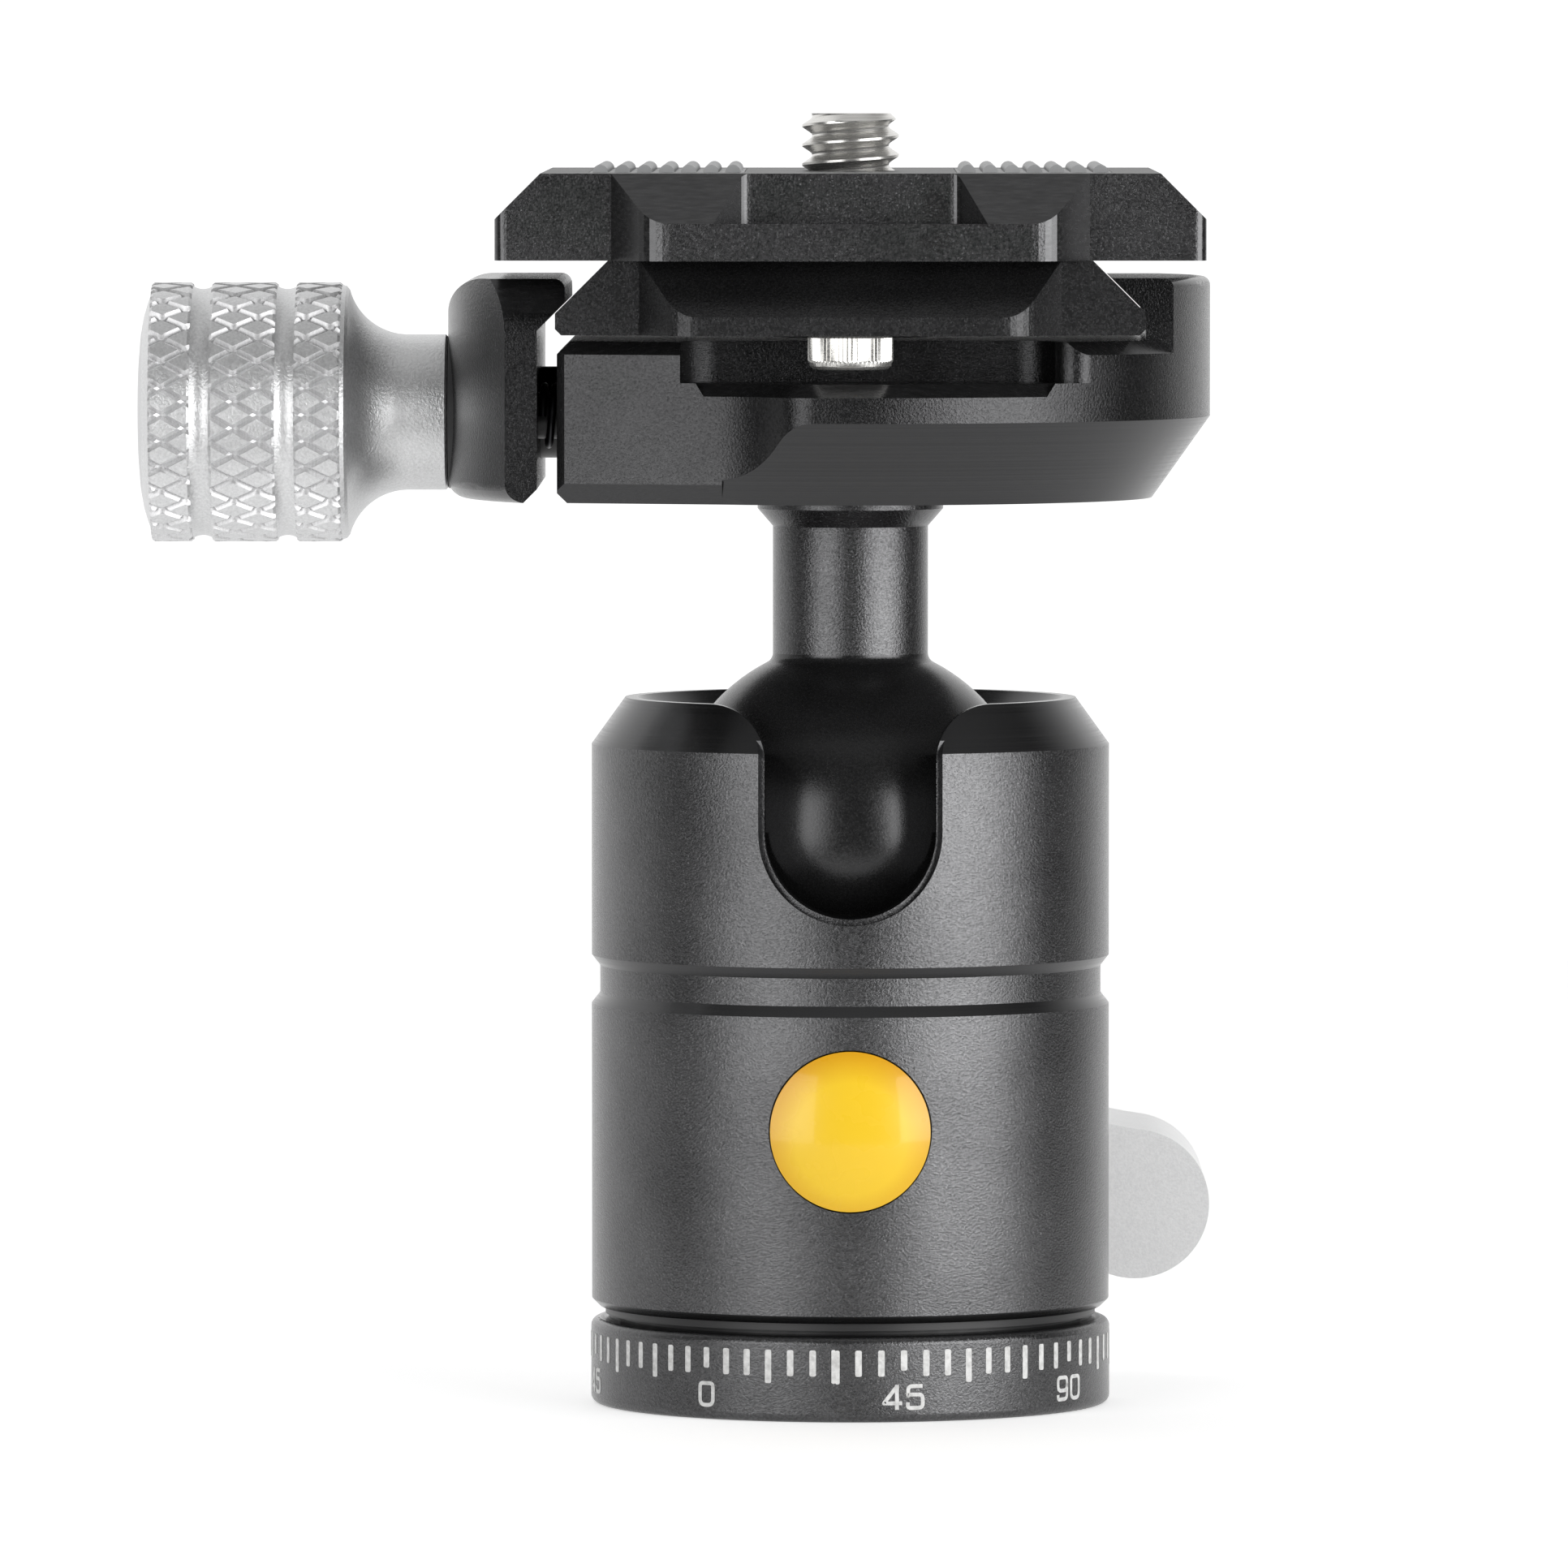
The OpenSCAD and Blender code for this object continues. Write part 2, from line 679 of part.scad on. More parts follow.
module shaft_bush() {
    color(silver_metal)
    difference() {
        union() {
            along_lock(bush_inner_y) cylinder(r = bush_r, h = bush_outer_y - bush_inner_y);
            along_lock(bush_seat_y) cylinder(r = bush_flange_d / 2, h = bush_flange_t);
        }
        along_lock(0) cylinder(r = shaft_r + running_gap, h = lever_y);
    }
}

// A flat disc with a crowned front that stands a little proud of the housing
module badge_dome() {
    crown_r = (pow(badge_r, 2) + pow(badge_crown, 2)) / (2 * badge_crown);
    color(badge_amber)
    translate([0, -housing_r + badge_seat_depth, lock_z]) rotate([90, 0, 0])
    rotate_extrude()
    intersection() {
        square([badge_r, badge_edge_t + badge_crown]);
        translate([0, badge_edge_t + badge_crown - crown_r]) circle(crown_r);
    }
}

// ---- Lock ----

// The shaft's section where the lever sits: round with one flat
module flatted_circle(r) {
    difference() {
        circle(r);
        translate([-r, r - shaft_flat]) square(2 * r);
    }
}

module lock_shaft() {
    thread_start_y = -wedge_l / 2 - past;
    collar_y = bush_inner_y - running_gap - shaft_collar_t;
    color(bright_steel)
    difference() {
        union() {
            along_lock(thread_start_y)
                cylinder(r = shaft_thread_d / 2, h = collar_y - thread_start_y + past / 2);
            along_lock(collar_y) cylinder(r = shaft_collar_d / 2, h = shaft_collar_t);
            along_lock(collar_y) cylinder(r = shaft_r, h = lever_y - collar_y);
            along_lock(lever_y - past / 2)
                linear_extrude(shaft_end_y - lever_y + past / 2) flatted_circle(shaft_r);
        }
        along_lock(lever_y) cylinder(r = lever_screw_d / 2 + thread_gap, h = lever_end_y);
    }
}

// Hub and tip joined by a waist whose hollow sides touch both circles
module lever_outline() {
    reach = lever_hub_r + lever_waist_r;
    along = (pow(lever_arm, 2) + pow(reach, 2) - pow(lever_tip_r + lever_waist_r, 2))
            / (2 * lever_arm);
    aside = sqrt(pow(reach, 2) - pow(along, 2));
    circle(lever_hub_r);
    translate([lever_arm, 0]) circle(lever_tip_r);
    difference() {
        polygon([[0, 0], [along, -aside], [lever_arm, 0], [along, aside]]);
        for (side = [-1, 1]) translate([along, side * aside]) circle(lever_waist_r);
    }
}

module lock_lever() {
    color(silver_metal)
    difference() {
        along_lock(lever_y) rotate([0, 0, lever_rest]) linear_extrude(lever_depth) lever_outline();
        along_lock(lever_y - past)
            linear_extrude(shaft_end_y - lever_y + past + running_gap)
            flatted_circle(shaft_r + thread_gap);
        along_lock(lever_y) cylinder(r = lever_screw_d / 2 + running_gap, h = lever_depth + past);
        along_lock(lever_head_y) cylinder(r = lever_head_d / 2 + badge_gap, h = lever_depth);
    }
}

module lever_washer() {
    color(slip_plastic)
    difference() {
        along_lock(bush_outer_y + running_gap) cylinder(r = bush_r, h = lever_washer_t);
        along_lock(0) cylinder(r = shaft_r + running_gap, h = lever_end_y);
    }
}

module lever_screw() {
    color(dark_metal)
    difference() {
        union() {
            along_lock(lever_head_y) cylinder(r = lever_head_d / 2, h = lever_head_h);
            along_lock(lever_y + past)
                cylinder(r = lever_screw_d / 2, h = lever_head_y - lever_y);
        }
        along_lock(lever_head_y + lever_head_h / 2)
            cylinder(r = lever_screw_d / 3, h = lever_head_h, $fn = 6);
    }
}

// A side view in Y and Z: the wedge's height at y, half of it each way from the shaft
function wedge_half_h(y) = wedge_h / 2 + wedge_slope * y;

module wedge_block() {
    half_l = wedge_l / 2;
    color(bright_steel)
    difference() {
        across_x(-wedge_w / 2, wedge_w / 2)
            polygon([
                [-half_l, lock_z - wedge_half_h(-half_l)],
                [half_l, lock_z - wedge_half_h(half_l)],
                [half_l, lock_z + wedge_half_h(half_l)],
                [-half_l, lock_z + wedge_half_h(-half_l)],
            ]);
        along_lock(-wedge_l) cylinder(r = shaft_thread_d / 2 + running_gap, h = 2 * wedge_l);
    }
}

// The sloped channel that the wedge slides in, wider than the wedge
module wedge_channel() {
    across_x(-channel_w / 2, channel_w / 2)
        polygon([
            [-bore_r, lock_z - wedge_half_h(-bore_r) - slide_gap],
            [bore_r, lock_z - wedge_half_h(bore_r) - slide_gap],
            [bore_r, lock_z + wedge_half_h(bore_r) + slide_gap],
            [-bore_r, lock_z + wedge_half_h(-bore_r) + slide_gap],
        ]);
}

module cup_carrier() {
    color(silver_metal)
    difference() {
        rod(guide_r, skirt_bottom, cup_z - skirt_bottom);
        wedge_channel();
        translate([0, 0, ball_z]) sphere(ball_r + ball_relief);
    }
}

module ball_cup() {
    color(slip_plastic)
    difference() {
        ring(guide_r - cup_inset, cup_hole_d / 2, cup_z, cup_reach - cup_foot);
        translate([0, 0, ball_z]) sphere(seat_r);
    }
}

module pan_shoe() {
    color(silver_metal)
    difference() {
        rod(guide_r, spindle_top + slide_gap, skirt_top - spindle_top - slide_gap);
        wedge_channel();
    }
}

// ---- Ball ----

module ball_stem() {
    fillet_x = stem_r + stem_fillet_r;
    fillet_z = sqrt(pow(ball_r + stem_fillet_r, 2) - pow(fillet_x, 2));
    color(dark_metal)
    translate([0, 0, ball_z])
    difference() {
        rotate_extrude() {
            intersection() {
                circle(ball_r);
                translate([0, ball_flat_h - ball_r]) square([ball_r, 2 * ball_r]);
            }
            polygon(concat(
                [[0, 0], [fillet_x / 2, ball_r / 2]],
                arc(fillet_x, fillet_z, stem_fillet_r, 180 + atan2(fillet_z, fillet_x), 180),
                [
                    [stem_r, stem_reach - band_h - band_cone_h],
                    [band_r, stem_reach - band_h],
                    [band_r, stem_reach],
                    [0, stem_reach],
                ]));
        }
        translate([0, 0, stem_reach + clamp_h - bolt_l - past])
            cylinder(r = bolt_r + running_gap, h = bolt_l);
    }
}

// ---- Clamp ----

// The scoop's points at the front: the centres of its corner and hollow, and the
// hollow's start at the end of the block's straight side
scoop_round_c = (clamp_r - scoop_round_r) * [-sin(scoop_leave), -cos(scoop_leave)];
scoop_hollow_c = scoop_round_c
                 + (scoop_round_r + scoop_hollow_r) * [-sin(scoop_steep), -cos(scoop_steep)];
scoop_start = scoop_hollow_c + scoop_hollow_r * [sin(side_angle), cos(side_angle)];
function side_y(x) = scoop_start[1] + (scoop_start[0] - x) * tan(side_angle);

// What the scoop takes off beside the block, in plan, at the front
module scoop_void() {
    far = 2 * clamp_r;
    polygon([[-far, side_y(-far)], scoop_start, scoop_hollow_c, [-far, -far]]);
    translate(scoop_hollow_c) circle(scoop_hollow_r);
    difference() {
        polygon([
            scoop_round_c,
            scoop_hollow_c,
            [scoop_hollow_c[0], -far],
            far * [-sin(scoop_leave), -cos(scoop_leave)],
        ]);
        translate(scoop_round_c) circle(scoop_round_r);
    }
}

// The round part, with the cone below and the deck's bevel above
module clamp_round() {
    intersection() {
        translate([0, 0, clamp_z])
        linear_extrude(clamp_h)
        difference() {
            circle(clamp_r);
            translate([-2 * clamp_r - block_reach + past, -clamp_r])
                square([2 * clamp_r, 2 * clamp_r]);
        }
        translate([0, 0, clamp_z])
        rotate_extrude()
        polygon([
            [0, 0],
            [clamp_r - clamp_cone_inset, 0],
            [clamp_r, clamp_cone_h],
            [clamp_r, clamp_h - deck_bevel],
            [clamp_r - deck_bevel, clamp_h],
            [0, clamp_h],
        ]);
    }
}

// The block that faces the sliding jaw, with its end chamfered on all four sides
module clamp_block() {
    end_x = scoop_start[0] + past * 0.8;
    intersection() {
        across_y(clamp_r)
            polygon([
                [-block_reach, clamp_z + block_end_chamfer],
                [block_end_chamfer - block_reach, clamp_z],
                [0, clamp_z],
                [0, deck_z],
                [deck_bevel - block_reach, deck_z],
                [-block_reach, deck_z - deck_bevel],
            ]);
        translate([0, 0, clamp_z])
        linear_extrude(clamp_h)
        front_and_back()
            polygon([
                [-block_reach, past],
                [-block_reach, side_y(-block_reach) + block_corner_chamfer],
                [block_corner_chamfer - block_reach, side_y(block_corner_chamfer - block_reach)],
                [end_x, side_y(end_x)],
                [end_x, past],
            ]);
    }
}

// A prism along the block's front side, from x0 to x1, for a section in Y and Z
// whose Y is measured from that side inwards
module along_side(x0, x1) {
    translate([x0, side_y(x0), 0]) rotate([0, 0, -side_angle])
    across_x(0, (x1 - x0) / cos(side_angle)) children();
}

// The bevels along the block's front side, below as far as the scoop and at the deck
module side_bevels() {
    x0 = -block_reach - 2 * past;
    low = block_side_chamfer + past;
    top = deck_bevel + past;
    along_side(x0, scoop_start[0] + 0.8 * past)
        polygon([[-past, clamp_z - past], [low, clamp_z - past], [-past, clamp_z + low]]);
    translate([scoop_hollow_c[0], scoop_hollow_c[1], clamp_z - past])
        cylinder(r1 = scoop_hollow_r + low, r2 = scoop_hollow_r - past, h = low + past);
    along_side(x0, pocket_r - pocket_left)
        polygon([[-past, deck_z + past], [top, deck_z + past], [-past, deck_z - top]]);
}

// The fixed jaw: undercut at 45 degrees inside, on the clamp's circle outside
module fixed_jaw() {
    intersection() {
        across_y(fixed_jaw_half_l)
            polygon([
                [dovetail_line - jaw_top + slope_gap, jaw_top],
                [clamp_r + past, jaw_top],
                [clamp_r + past, deck_z - deck_bevel - past],
                [root_x, deck_z - deck_bevel - past],
                [root_x, dovetail_line - root_x + slope_gap],
            ]);
        rotate_extrude()
        difference() {
            square([clamp_r, jaw_top]);
            translate([clamp_r - fixed_jaw_edge_r, jaw_top - fixed_jaw_edge_r])
                corner_off(fixed_jaw_edge_r);
        }
    }
}

// A stop pocket in plan, at the front
module pocket_plan() {
    round_x = pocket_right + pocket_round_r;
    round_y = -sqrt(pow(clamp_r - pocket_round_r, 2) - pow(round_x, 2));
    outer = clamp_r / (clamp_r - pocket_round_r) * 1.3;
    difference() {
        translate([-pocket_left, -clamp_r - past])
            square([pocket_left + pocket_right, clamp_r + past - pocket_wall]);
        translate([pocket_right - pocket_r, -pocket_wall - pocket_r]) corner_off(pocket_r);
        translate([pocket_r - pocket_left, -pocket_wall - pocket_r])
            mirror([1, 0, 0]) corner_off(pocket_r);
    }
    difference() {
        polygon([
            [round_x, round_y],
            [pocket_right - past, round_y],
            [pocket_right - past, round_y * outer],
            [round_x * outer, round_y * outer],
        ]);
        translate([round_x, round_y]) circle(pocket_round_r);
    }
}

// The bevel along a stop pocket's floor, which follows the scoop and the circle
module floor_bevel(floor_z) {
    low_z = floor_z - deck_bevel;
    top = deck_bevel + past / 2;
    far = 2 * clamp_r;
    x0 = past - pocket_left;
    x1 = pocket_right;
    intersection() {
        union() {
            along_side(x0 - past, scoop_start[0])
                polygon([[-past, floor_z + past / 2], [top, floor_z + past / 2],
                         [0, low_z], [-past, low_z - past]]);
            translate([scoop_hollow_c[0], scoop_hollow_c[1], low_z])
                cylinder(r1 = scoop_hollow_r, r2 = scoop_hollow_r + top, h = top);
            difference() {
                translate([0, 0, low_z])
                linear_extrude(top)
                polygon([
                    scoop_round_c,
                    scoop_hollow_c,
                    [scoop_hollow_c[0], -far],
                    far * [-sin(scoop_leave), -cos(scoop_leave)],
                ]);
                translate([scoop_round_c[0], scoop_round_c[1], low_z])
                    cylinder(r1 = scoop_round_r, r2 = scoop_round_r - top, h = top);
            }
            rotate_extrude()
                polygon([
                    [clamp_r - top, floor_z + past / 2],
                    [clamp_r, low_z],
                    [clamp_r + past, low_z],
                    [clamp_r + past, floor_z + past / 2],
                ]);
        }
        translate([0, -clamp_r / 2, 0])
        across_y(clamp_r / 2 + past)
            polygon([
                [x0, floor_z + past / 2],
                [x0, floor_z],
                [x0 + deck_bevel, low_z - past / 2],
                [x1 - deck_bevel, low_z - past / 2],
                [x1, floor_z],
                [x1, floor_z + past / 2],
            ]);
    }
}

module stop_pocket() {
    floor_z = deck_z - pocket_depth;
    translate([0, 0, floor_z]) linear_extrude(pocket_depth + past) pocket_plan();
    floor_bevel(floor_z);
}

module clamp_body() {
    sink_h = bolt_head_d / 2 - bolt_r;
    color(black_metal)
    difference() {
        union() {
            clamp_round();
            clamp_block();
            fixed_jaw();
        }
        front_and_back() {
            translate([0, 0, clamp_z - past]) linear_extrude(clamp_h + 2 * past) scoop_void();
            side_bevels();
            stop_pocket();
        }
        rod(bolt_r + running_gap, clamp_z - past, clamp_h + 2 * past);
        translate([0, 0, deck_z - sink_h])
            cylinder(r1 = bolt_r + running_gap, r2 = bolt_head_d / 2 + past + running_gap,
                     h = sink_h + past);
        along_x(-block_reach - past, 0, knob_z)
            cylinder(r = screw_r + running_gap, h = screw_reach + 2 * past);
        front_and_back() {
            along_x(-block_reach - past, -pin_y, knob_z)
                cylinder(r = pin_r + running_gap, h = pin_reach + 2 * past);
            along_x(-block_reach - past, -pin_y, knob_z)
                cylinder(r = spring_seat_d / 2, h = spring_seat_depth + past);
        }
    }
}

module clamp_bolt() {
    sink_h = bolt_head_d / 2 - bolt_r;
    color(dark_metal)
    difference() {
        union() {
            rod(bolt_r, deck_z - bolt_l, bolt_l - sink_h / 2);
            translate([0, 0, deck_z - sink_h]) cylinder(r1 = bolt_r, r2 = bolt_head_d / 2, h = sink_h);
        }
        translate([0, 0, deck_z - sink_h]) cylinder(r = bolt_r * 0.7, h = sink_h + past, $fn = 6);
    }
}

// ---- Sliding jaw ----

module sliding_jaw() {
    face_x = jaw_face_r - jaw_outer_x;
    color(black_metal)
    difference() {
        intersection() {
            translate([face_x, 0, clamp_z])
            rotate_extrude()
            difference() {
                square([jaw_face_r, jaw_top - clamp_z]);
                translate([jaw_face_r - jaw_bottom_r, jaw_bottom_r])
                    mirror([0, 1, 0]) corner_off(jaw_bottom_r);
            }
            across_y(jaw_l / 2)
                polygon(concat(
                    [
                        [-jaw_outer_x - past, clamp_z - past],
                        [-jaw_inner_x - jaw_foot_chamfer - past, clamp_z - past],
                        [-jaw_inner_x, clamp_z + jaw_foot_chamfer],
                        [-jaw_inner_x, dovetail_line - jaw_inner_x + slope_gap],
                        [-beak_x, dovetail_line - beak_x + slope_gap],
                    ],
                    arc(-beak_x - beak_r, jaw_top - beak_r, beak_r, 0, 90, 6),
                    [
                        [-beak_x - beak_r, jaw_top + past],
                        [-jaw_outer_x - past, jaw_top + past],
                    ]));
        }
        across_y(jaw_l)
            translate([jaw_top_r - jaw_outer_x, jaw_top - jaw_top_r])
            mirror([1, 0, 0]) corner_off(jaw_top_r);
        front_and_back()
            across_x(-jaw_outer_x - past, past - beak_x)
            translate([-jaw_l / 2, jaw_top - jaw_end_rise])
            difference() {
                translate([-past, 0]) square([jaw_end_r + past, jaw_end_rise + past]);
                translate([jaw_end_r, 0]) circle(jaw_end_r);
            }
        along_x(-jaw_outer_x - past, 0, knob_z)
            cylinder(r = screw_r + 2 * running_gap, h = jaw_t + 2 * past);
        along_x(-jaw_outer_x - past, 0, knob_z)
            cylinder(r = knob_washer_d / 2 + 2 * badge_gap, h = knob_seat_depth + past);
        front_and_back()
            along_x(-jaw_inner_x - pin_grip, -pin_y, knob_z)
            cylinder(r = pin_r + thread_gap, h = pin_grip + past);
    }
}

module guide_pins() {
    color(bright_steel)
    front_and_back()
        along_x(-jaw_inner_x - pin_grip, -pin_y, knob_z)
        cylinder(r = pin_r, h = pin_grip + jaw_open_gap + pin_reach);
}

// A coil spring that stands on +Z, swept as one closed tube
module coil_spring(outer_d, wire_d, length, turns) {
    sides = 8;
    steps = 16 * turns;
    coil_r = (outer_d - wire_d) / 2;
    rise = length - wire_d;
    points = [
        for (i = [0:steps]) for (k = [0:sides - 1])
            let (a = 360 * turns * i / steps, b = 360 * k / sides)
            [(coil_r + wire_d / 2 * cos(b)) * cos(a),
             (coil_r + wire_d / 2 * cos(b)) * sin(a),
             wire_d / 2 + rise * i / steps + wire_d / 2 * sin(b)]
    ];
    walls = [
        for (i = [0:steps - 1]) for (k = [0:sides - 1])
            let (a = i * sides + k, b = i * sides + (k + 1) % sides)
            each [[a, b, b + sides], [a, b + sides, a + sides]]
    ];
    first = [for (k = [sides - 1:-1:0]) k];
    last = [for (k = [0:sides - 1]) steps * sides + k];
    polyhedron(points, concat(walls, [first, last]));
}

module jaw_springs() {
    rest_l = jaw_open_gap + spring_seat_depth - 2 * running_gap;
    color(bright_steel)
    front_and_back()
        along_x(-jaw_inner_x + running_gap, -pin_y, knob_z)
        coil_spring(spring_d, spring_wire_d, rest_l, spring_turns);
}

// ---- Clamp knob ----

// The knob's half section: radius against distance from its outer end
module knob_profile() {
    low_r = knob_r - knob_groove_depth;
    groove_1 = knob_edge_r + knob_band_outer;
    groove_2 = groove_1 + knob_groove_w + knob_band_middle;
    shoulder = groove_2 + knob_groove_w + knob_band_inner;
    flare_end = shoulder + knob_shoulder + knob_flare_l();
    bevel = knob_groove_depth / 2;
    polygon(concat(
        [[0, 0]],
        arc(knob_r - knob_edge_r, knob_edge_r, knob_edge_r, -90, 0, 6),
        [for (s = [groove_1, groove_2], p = [[knob_r, 0], [low_r, bevel],
                                             [low_r, knob_groove_w - bevel],
                                             [knob_r, knob_groove_w]]) [p[0], s + p[1]]],
        [[knob_r, shoulder]],
        arc(knob_neck_r + knob_flare_r, flare_end, knob_flare_r, 180 + knob_flare_angle(), 180),
        [[knob_neck_r, knob_l], [0, knob_l]]));
}

module clamp_knob() {
    color(silver_metal)
    difference() {
        along_x(-knob_outer_x, 0, knob_z) rotate_extrude() knob_profile();
        along_x(-knob_inner_x - knob_bore_depth, 0, knob_z)
            cylinder(r = screw_r + thread_gap, h = knob_bore_depth + past);
    }
}

module clamp_screw() {
    start_x = knob_inner_x + knob_bore_depth - running_gap;
    color(dark_metal)
    along_x(-start_x, 0, knob_z)
        cylinder(r = screw_r, h = start_x - block_reach + screw_reach);
}

module knob_washer() {
    color(slip_plastic)
    difference() {
        along_x(-knob_washer_x - knob_washer_t, 0, knob_z)
            cylinder(r = knob_washer_d / 2, h = knob_washer_t);
        along_x(-knob_outer_x, 0, knob_z)
            cylinder(r = screw_r + thread_gap, h = knob_outer_x);
    }
}

// ---- Plate ----

// One level of the plate's ends in plan: square shoulders and a tapered tongue
module end_plan(tongue_half_w) {
    square([plate_w, 2 * plate_face_y], center = true);
    shoulder = tongue_half_w + end_chamfer * tan(tongue_side);
    corner_x = tongue_half_w - tongue_r * tan((90 - tongue_side) / 2);
    corner_y = plate_l / 2 - tongue_r;
    front_and_back()
        polygon(concat(
            [[-shoulder, -plate_face_y]],
            [for (p = arc(-corner_x, -corner_y, tongue_r, 180 + tongue_side, 270, 5)) p],
            [for (p = arc(corner_x, -corner_y, tongue_r, 270, 360 - tongue_side, 5)) p],
            [[shoulder, -plate_face_y], [0, 0]]));
}

// A level from the side: upright lips at its ends, and slopes back to its top
module end_side(z, lip_h, h) {
    polygon([
        [-plate_l / 2, z],
        [plate_l / 2, z],
        [plate_l / 2, z + lip_h],
        [plate_face_y, z + h],
        [-plate_face_y, z + h],
        [-plate_l / 2, z + lip_h],
    ]);
}

module plate_level(z, h, lip_h, tongue_half_w) {
    intersection() {
        translate([0, 0, z]) linear_extrude(h) end_plan(tongue_half_w);
        across_x(-plate_w, plate_w) end_side(z, lip_h, h);
        across_y(plate_l) children();
    }
}

// The window that opens the upper tongue down to its lip, in plan, at the front
module window_plan() {
    r = plate_corner_r;
    side = atan2(window_flare, end_chamfer);
    centre_x = window_half_w - r * tan(45 - side / 2);
    front_x = window_half_w + window_flare * (end_chamfer + past) / end_chamfer;
    polygon(concat(
        arc(-centre_x, -plate_face_y - r, r, 180 - side, 90, 4),
        arc(centre_x, -plate_face_y - r, r, 90, side, 4),
        [[front_x, -plate_l / 2 - past], [-front_x, -plate_l / 2 - past]]));
}

module plate() {
    half_w = plate_w / 2;
    dove_half_w = dovetail_w / 2;
    wing_lip = wing_h - end_chamfer;
    color(black_metal)
    difference() {
        union() {
            plate_level(plate_z, dovetail_h + running_gap, dovetail_lip_h, dovetail_tongue_half_w)
                polygon([
                    [-dove_half_w, plate_z + dovetail_chamfer],
                    [dovetail_chamfer - dove_half_w, plate_z],
                    [dove_half_w - dovetail_chamfer, plate_z],
                    [dove_half_w, plate_z + dovetail_chamfer],
                    [dove_half_w, plate_z + dovetail_edge_h],
                    [dovetail_line - wing_z - past, wing_z + past],
                    [wing_z + past - dovetail_line, wing_z + past],
                    [-dove_half_w, plate_z + dovetail_edge_h],
                ]);
            intersection() {
                plate_level(wing_z, wing_h, wing_lip, wing_tongue_half_w)
                    polygon([
                        [-half_w, wing_z],
                        [half_w, wing_z],
                        [half_w, plate_top - wing_chamfer],
                        [half_w - wing_chamfer, plate_top],
                        [wing_chamfer - half_w, plate_top],
                        [-half_w, plate_top - wing_chamfer],
                    ]);
                translate([0, 0, wing_z]) linear_extrude(wing_h) wing_plan();
            }
        }
        front_and_back()
            translate([0, 0, wing_z + wing_lip]) linear_extrude(wing_h) window_plan();
        for (side = [-1, 1])
            translate([side * (pad_x + pad_w / 2), 0, pad_z + pad_t])
            cube([pad_w + 2 * pad_gap, pad_l + 2 * pad_gap, 2 * pad_t], center = true);
        rod(camera_neck_d / 2 + 2 * running_gap, plate_z - past, dovetail_h + wing_h + 2 * past);
        rod(camera_head_d / 2 + camera_head_gap, plate_z - past,
            camera_head_top + running_gap - plate_z + past);
        front_and_back()
            translate([0, -stop_y, 0])
            rod(stop_screw_d / 2 + thread_gap, plate_z - past, stop_screw_l + 2 * running_gap + past);
    }
}

// The upper part in plan, with its four outer corners rounded
module wing_plan() {
    r = plate_corner_r;
    difference() {
        square([plate_w, plate_l], center = true);
        for (side = [0, 1]) mirror([side, 0, 0])
            front_and_back()
            translate([plate_w / 2 - r, r - plate_face_y]) mirror([0, 1, 0]) corner_off(r);
    }
}

module rubber_pads() {
    color(rubber_grey)
    for (side = [0, 1]) mirror([side, 0, 0])
        across_y(pad_l / 2) {
            translate([pad_x, pad_z]) square([pad_w, pad_t]);
            for (i = [0:pad_ridges - 1])
                translate([pad_x + (i + 0.5) * pad_pitch, plate_top])
                intersection() {
                    circle(ridge_h);
                    translate([-ridge_h, -pad_t / 2]) square([2 * ridge_h, pad_t / 2 + ridge_h]);
                }
        }
}

module stop_screws() {
    color(bright_steel)
    front_and_back()
        translate([0, -stop_y, 0]) {
            rod(stop_head_d / 2, plate_z - stop_head_h, stop_head_h);
            rod(stop_screw_d / 2, plate_z - stop_head_h / 2, stop_screw_l + stop_head_h / 2);
        }
}

module camera_screw() {
    r = camera_screw_d / 2;
    tip = 0.4;
    color(bright_steel)
    difference() {
        union() {
            rod(camera_head_d / 2, camera_head_z, camera_head_h);
            rod(camera_neck_d / 2, camera_head_z, plate_top + past / 2 - camera_head_z);
            rotate_extrude()
                polygon([
                    [0, plate_top + running_gap],
                    [r, plate_top + running_gap],
                    [r, plate_top + camera_screw_rise - tip],
                    [r - tip, plate_top + camera_screw_rise],
                    [0, plate_top + camera_screw_rise],
                ]);
        }
        translate([-camera_head_d, -camera_slot_w / 2, camera_head_z - past])
            cube([2 * camera_head_d, camera_slot_w, camera_slot_depth + past]);
    }
}

base_disc();
lower_pan_washer();
upper_pan_washer();
pan_nut();
housing();
bottom_cover();
shaft_bush();
badge_dome();
lock_shaft();
lock_lever();
lever_washer();
lever_screw();
wedge_block();
cup_carrier();
ball_cup();
pan_shoe();
ball_stem();
clamp_body();
clamp_bolt();
sliding_jaw();
guide_pins();
jaw_springs();
clamp_knob();
clamp_screw();
knob_washer();
plate();
rubber_pads();
stop_screws();
camera_screw();
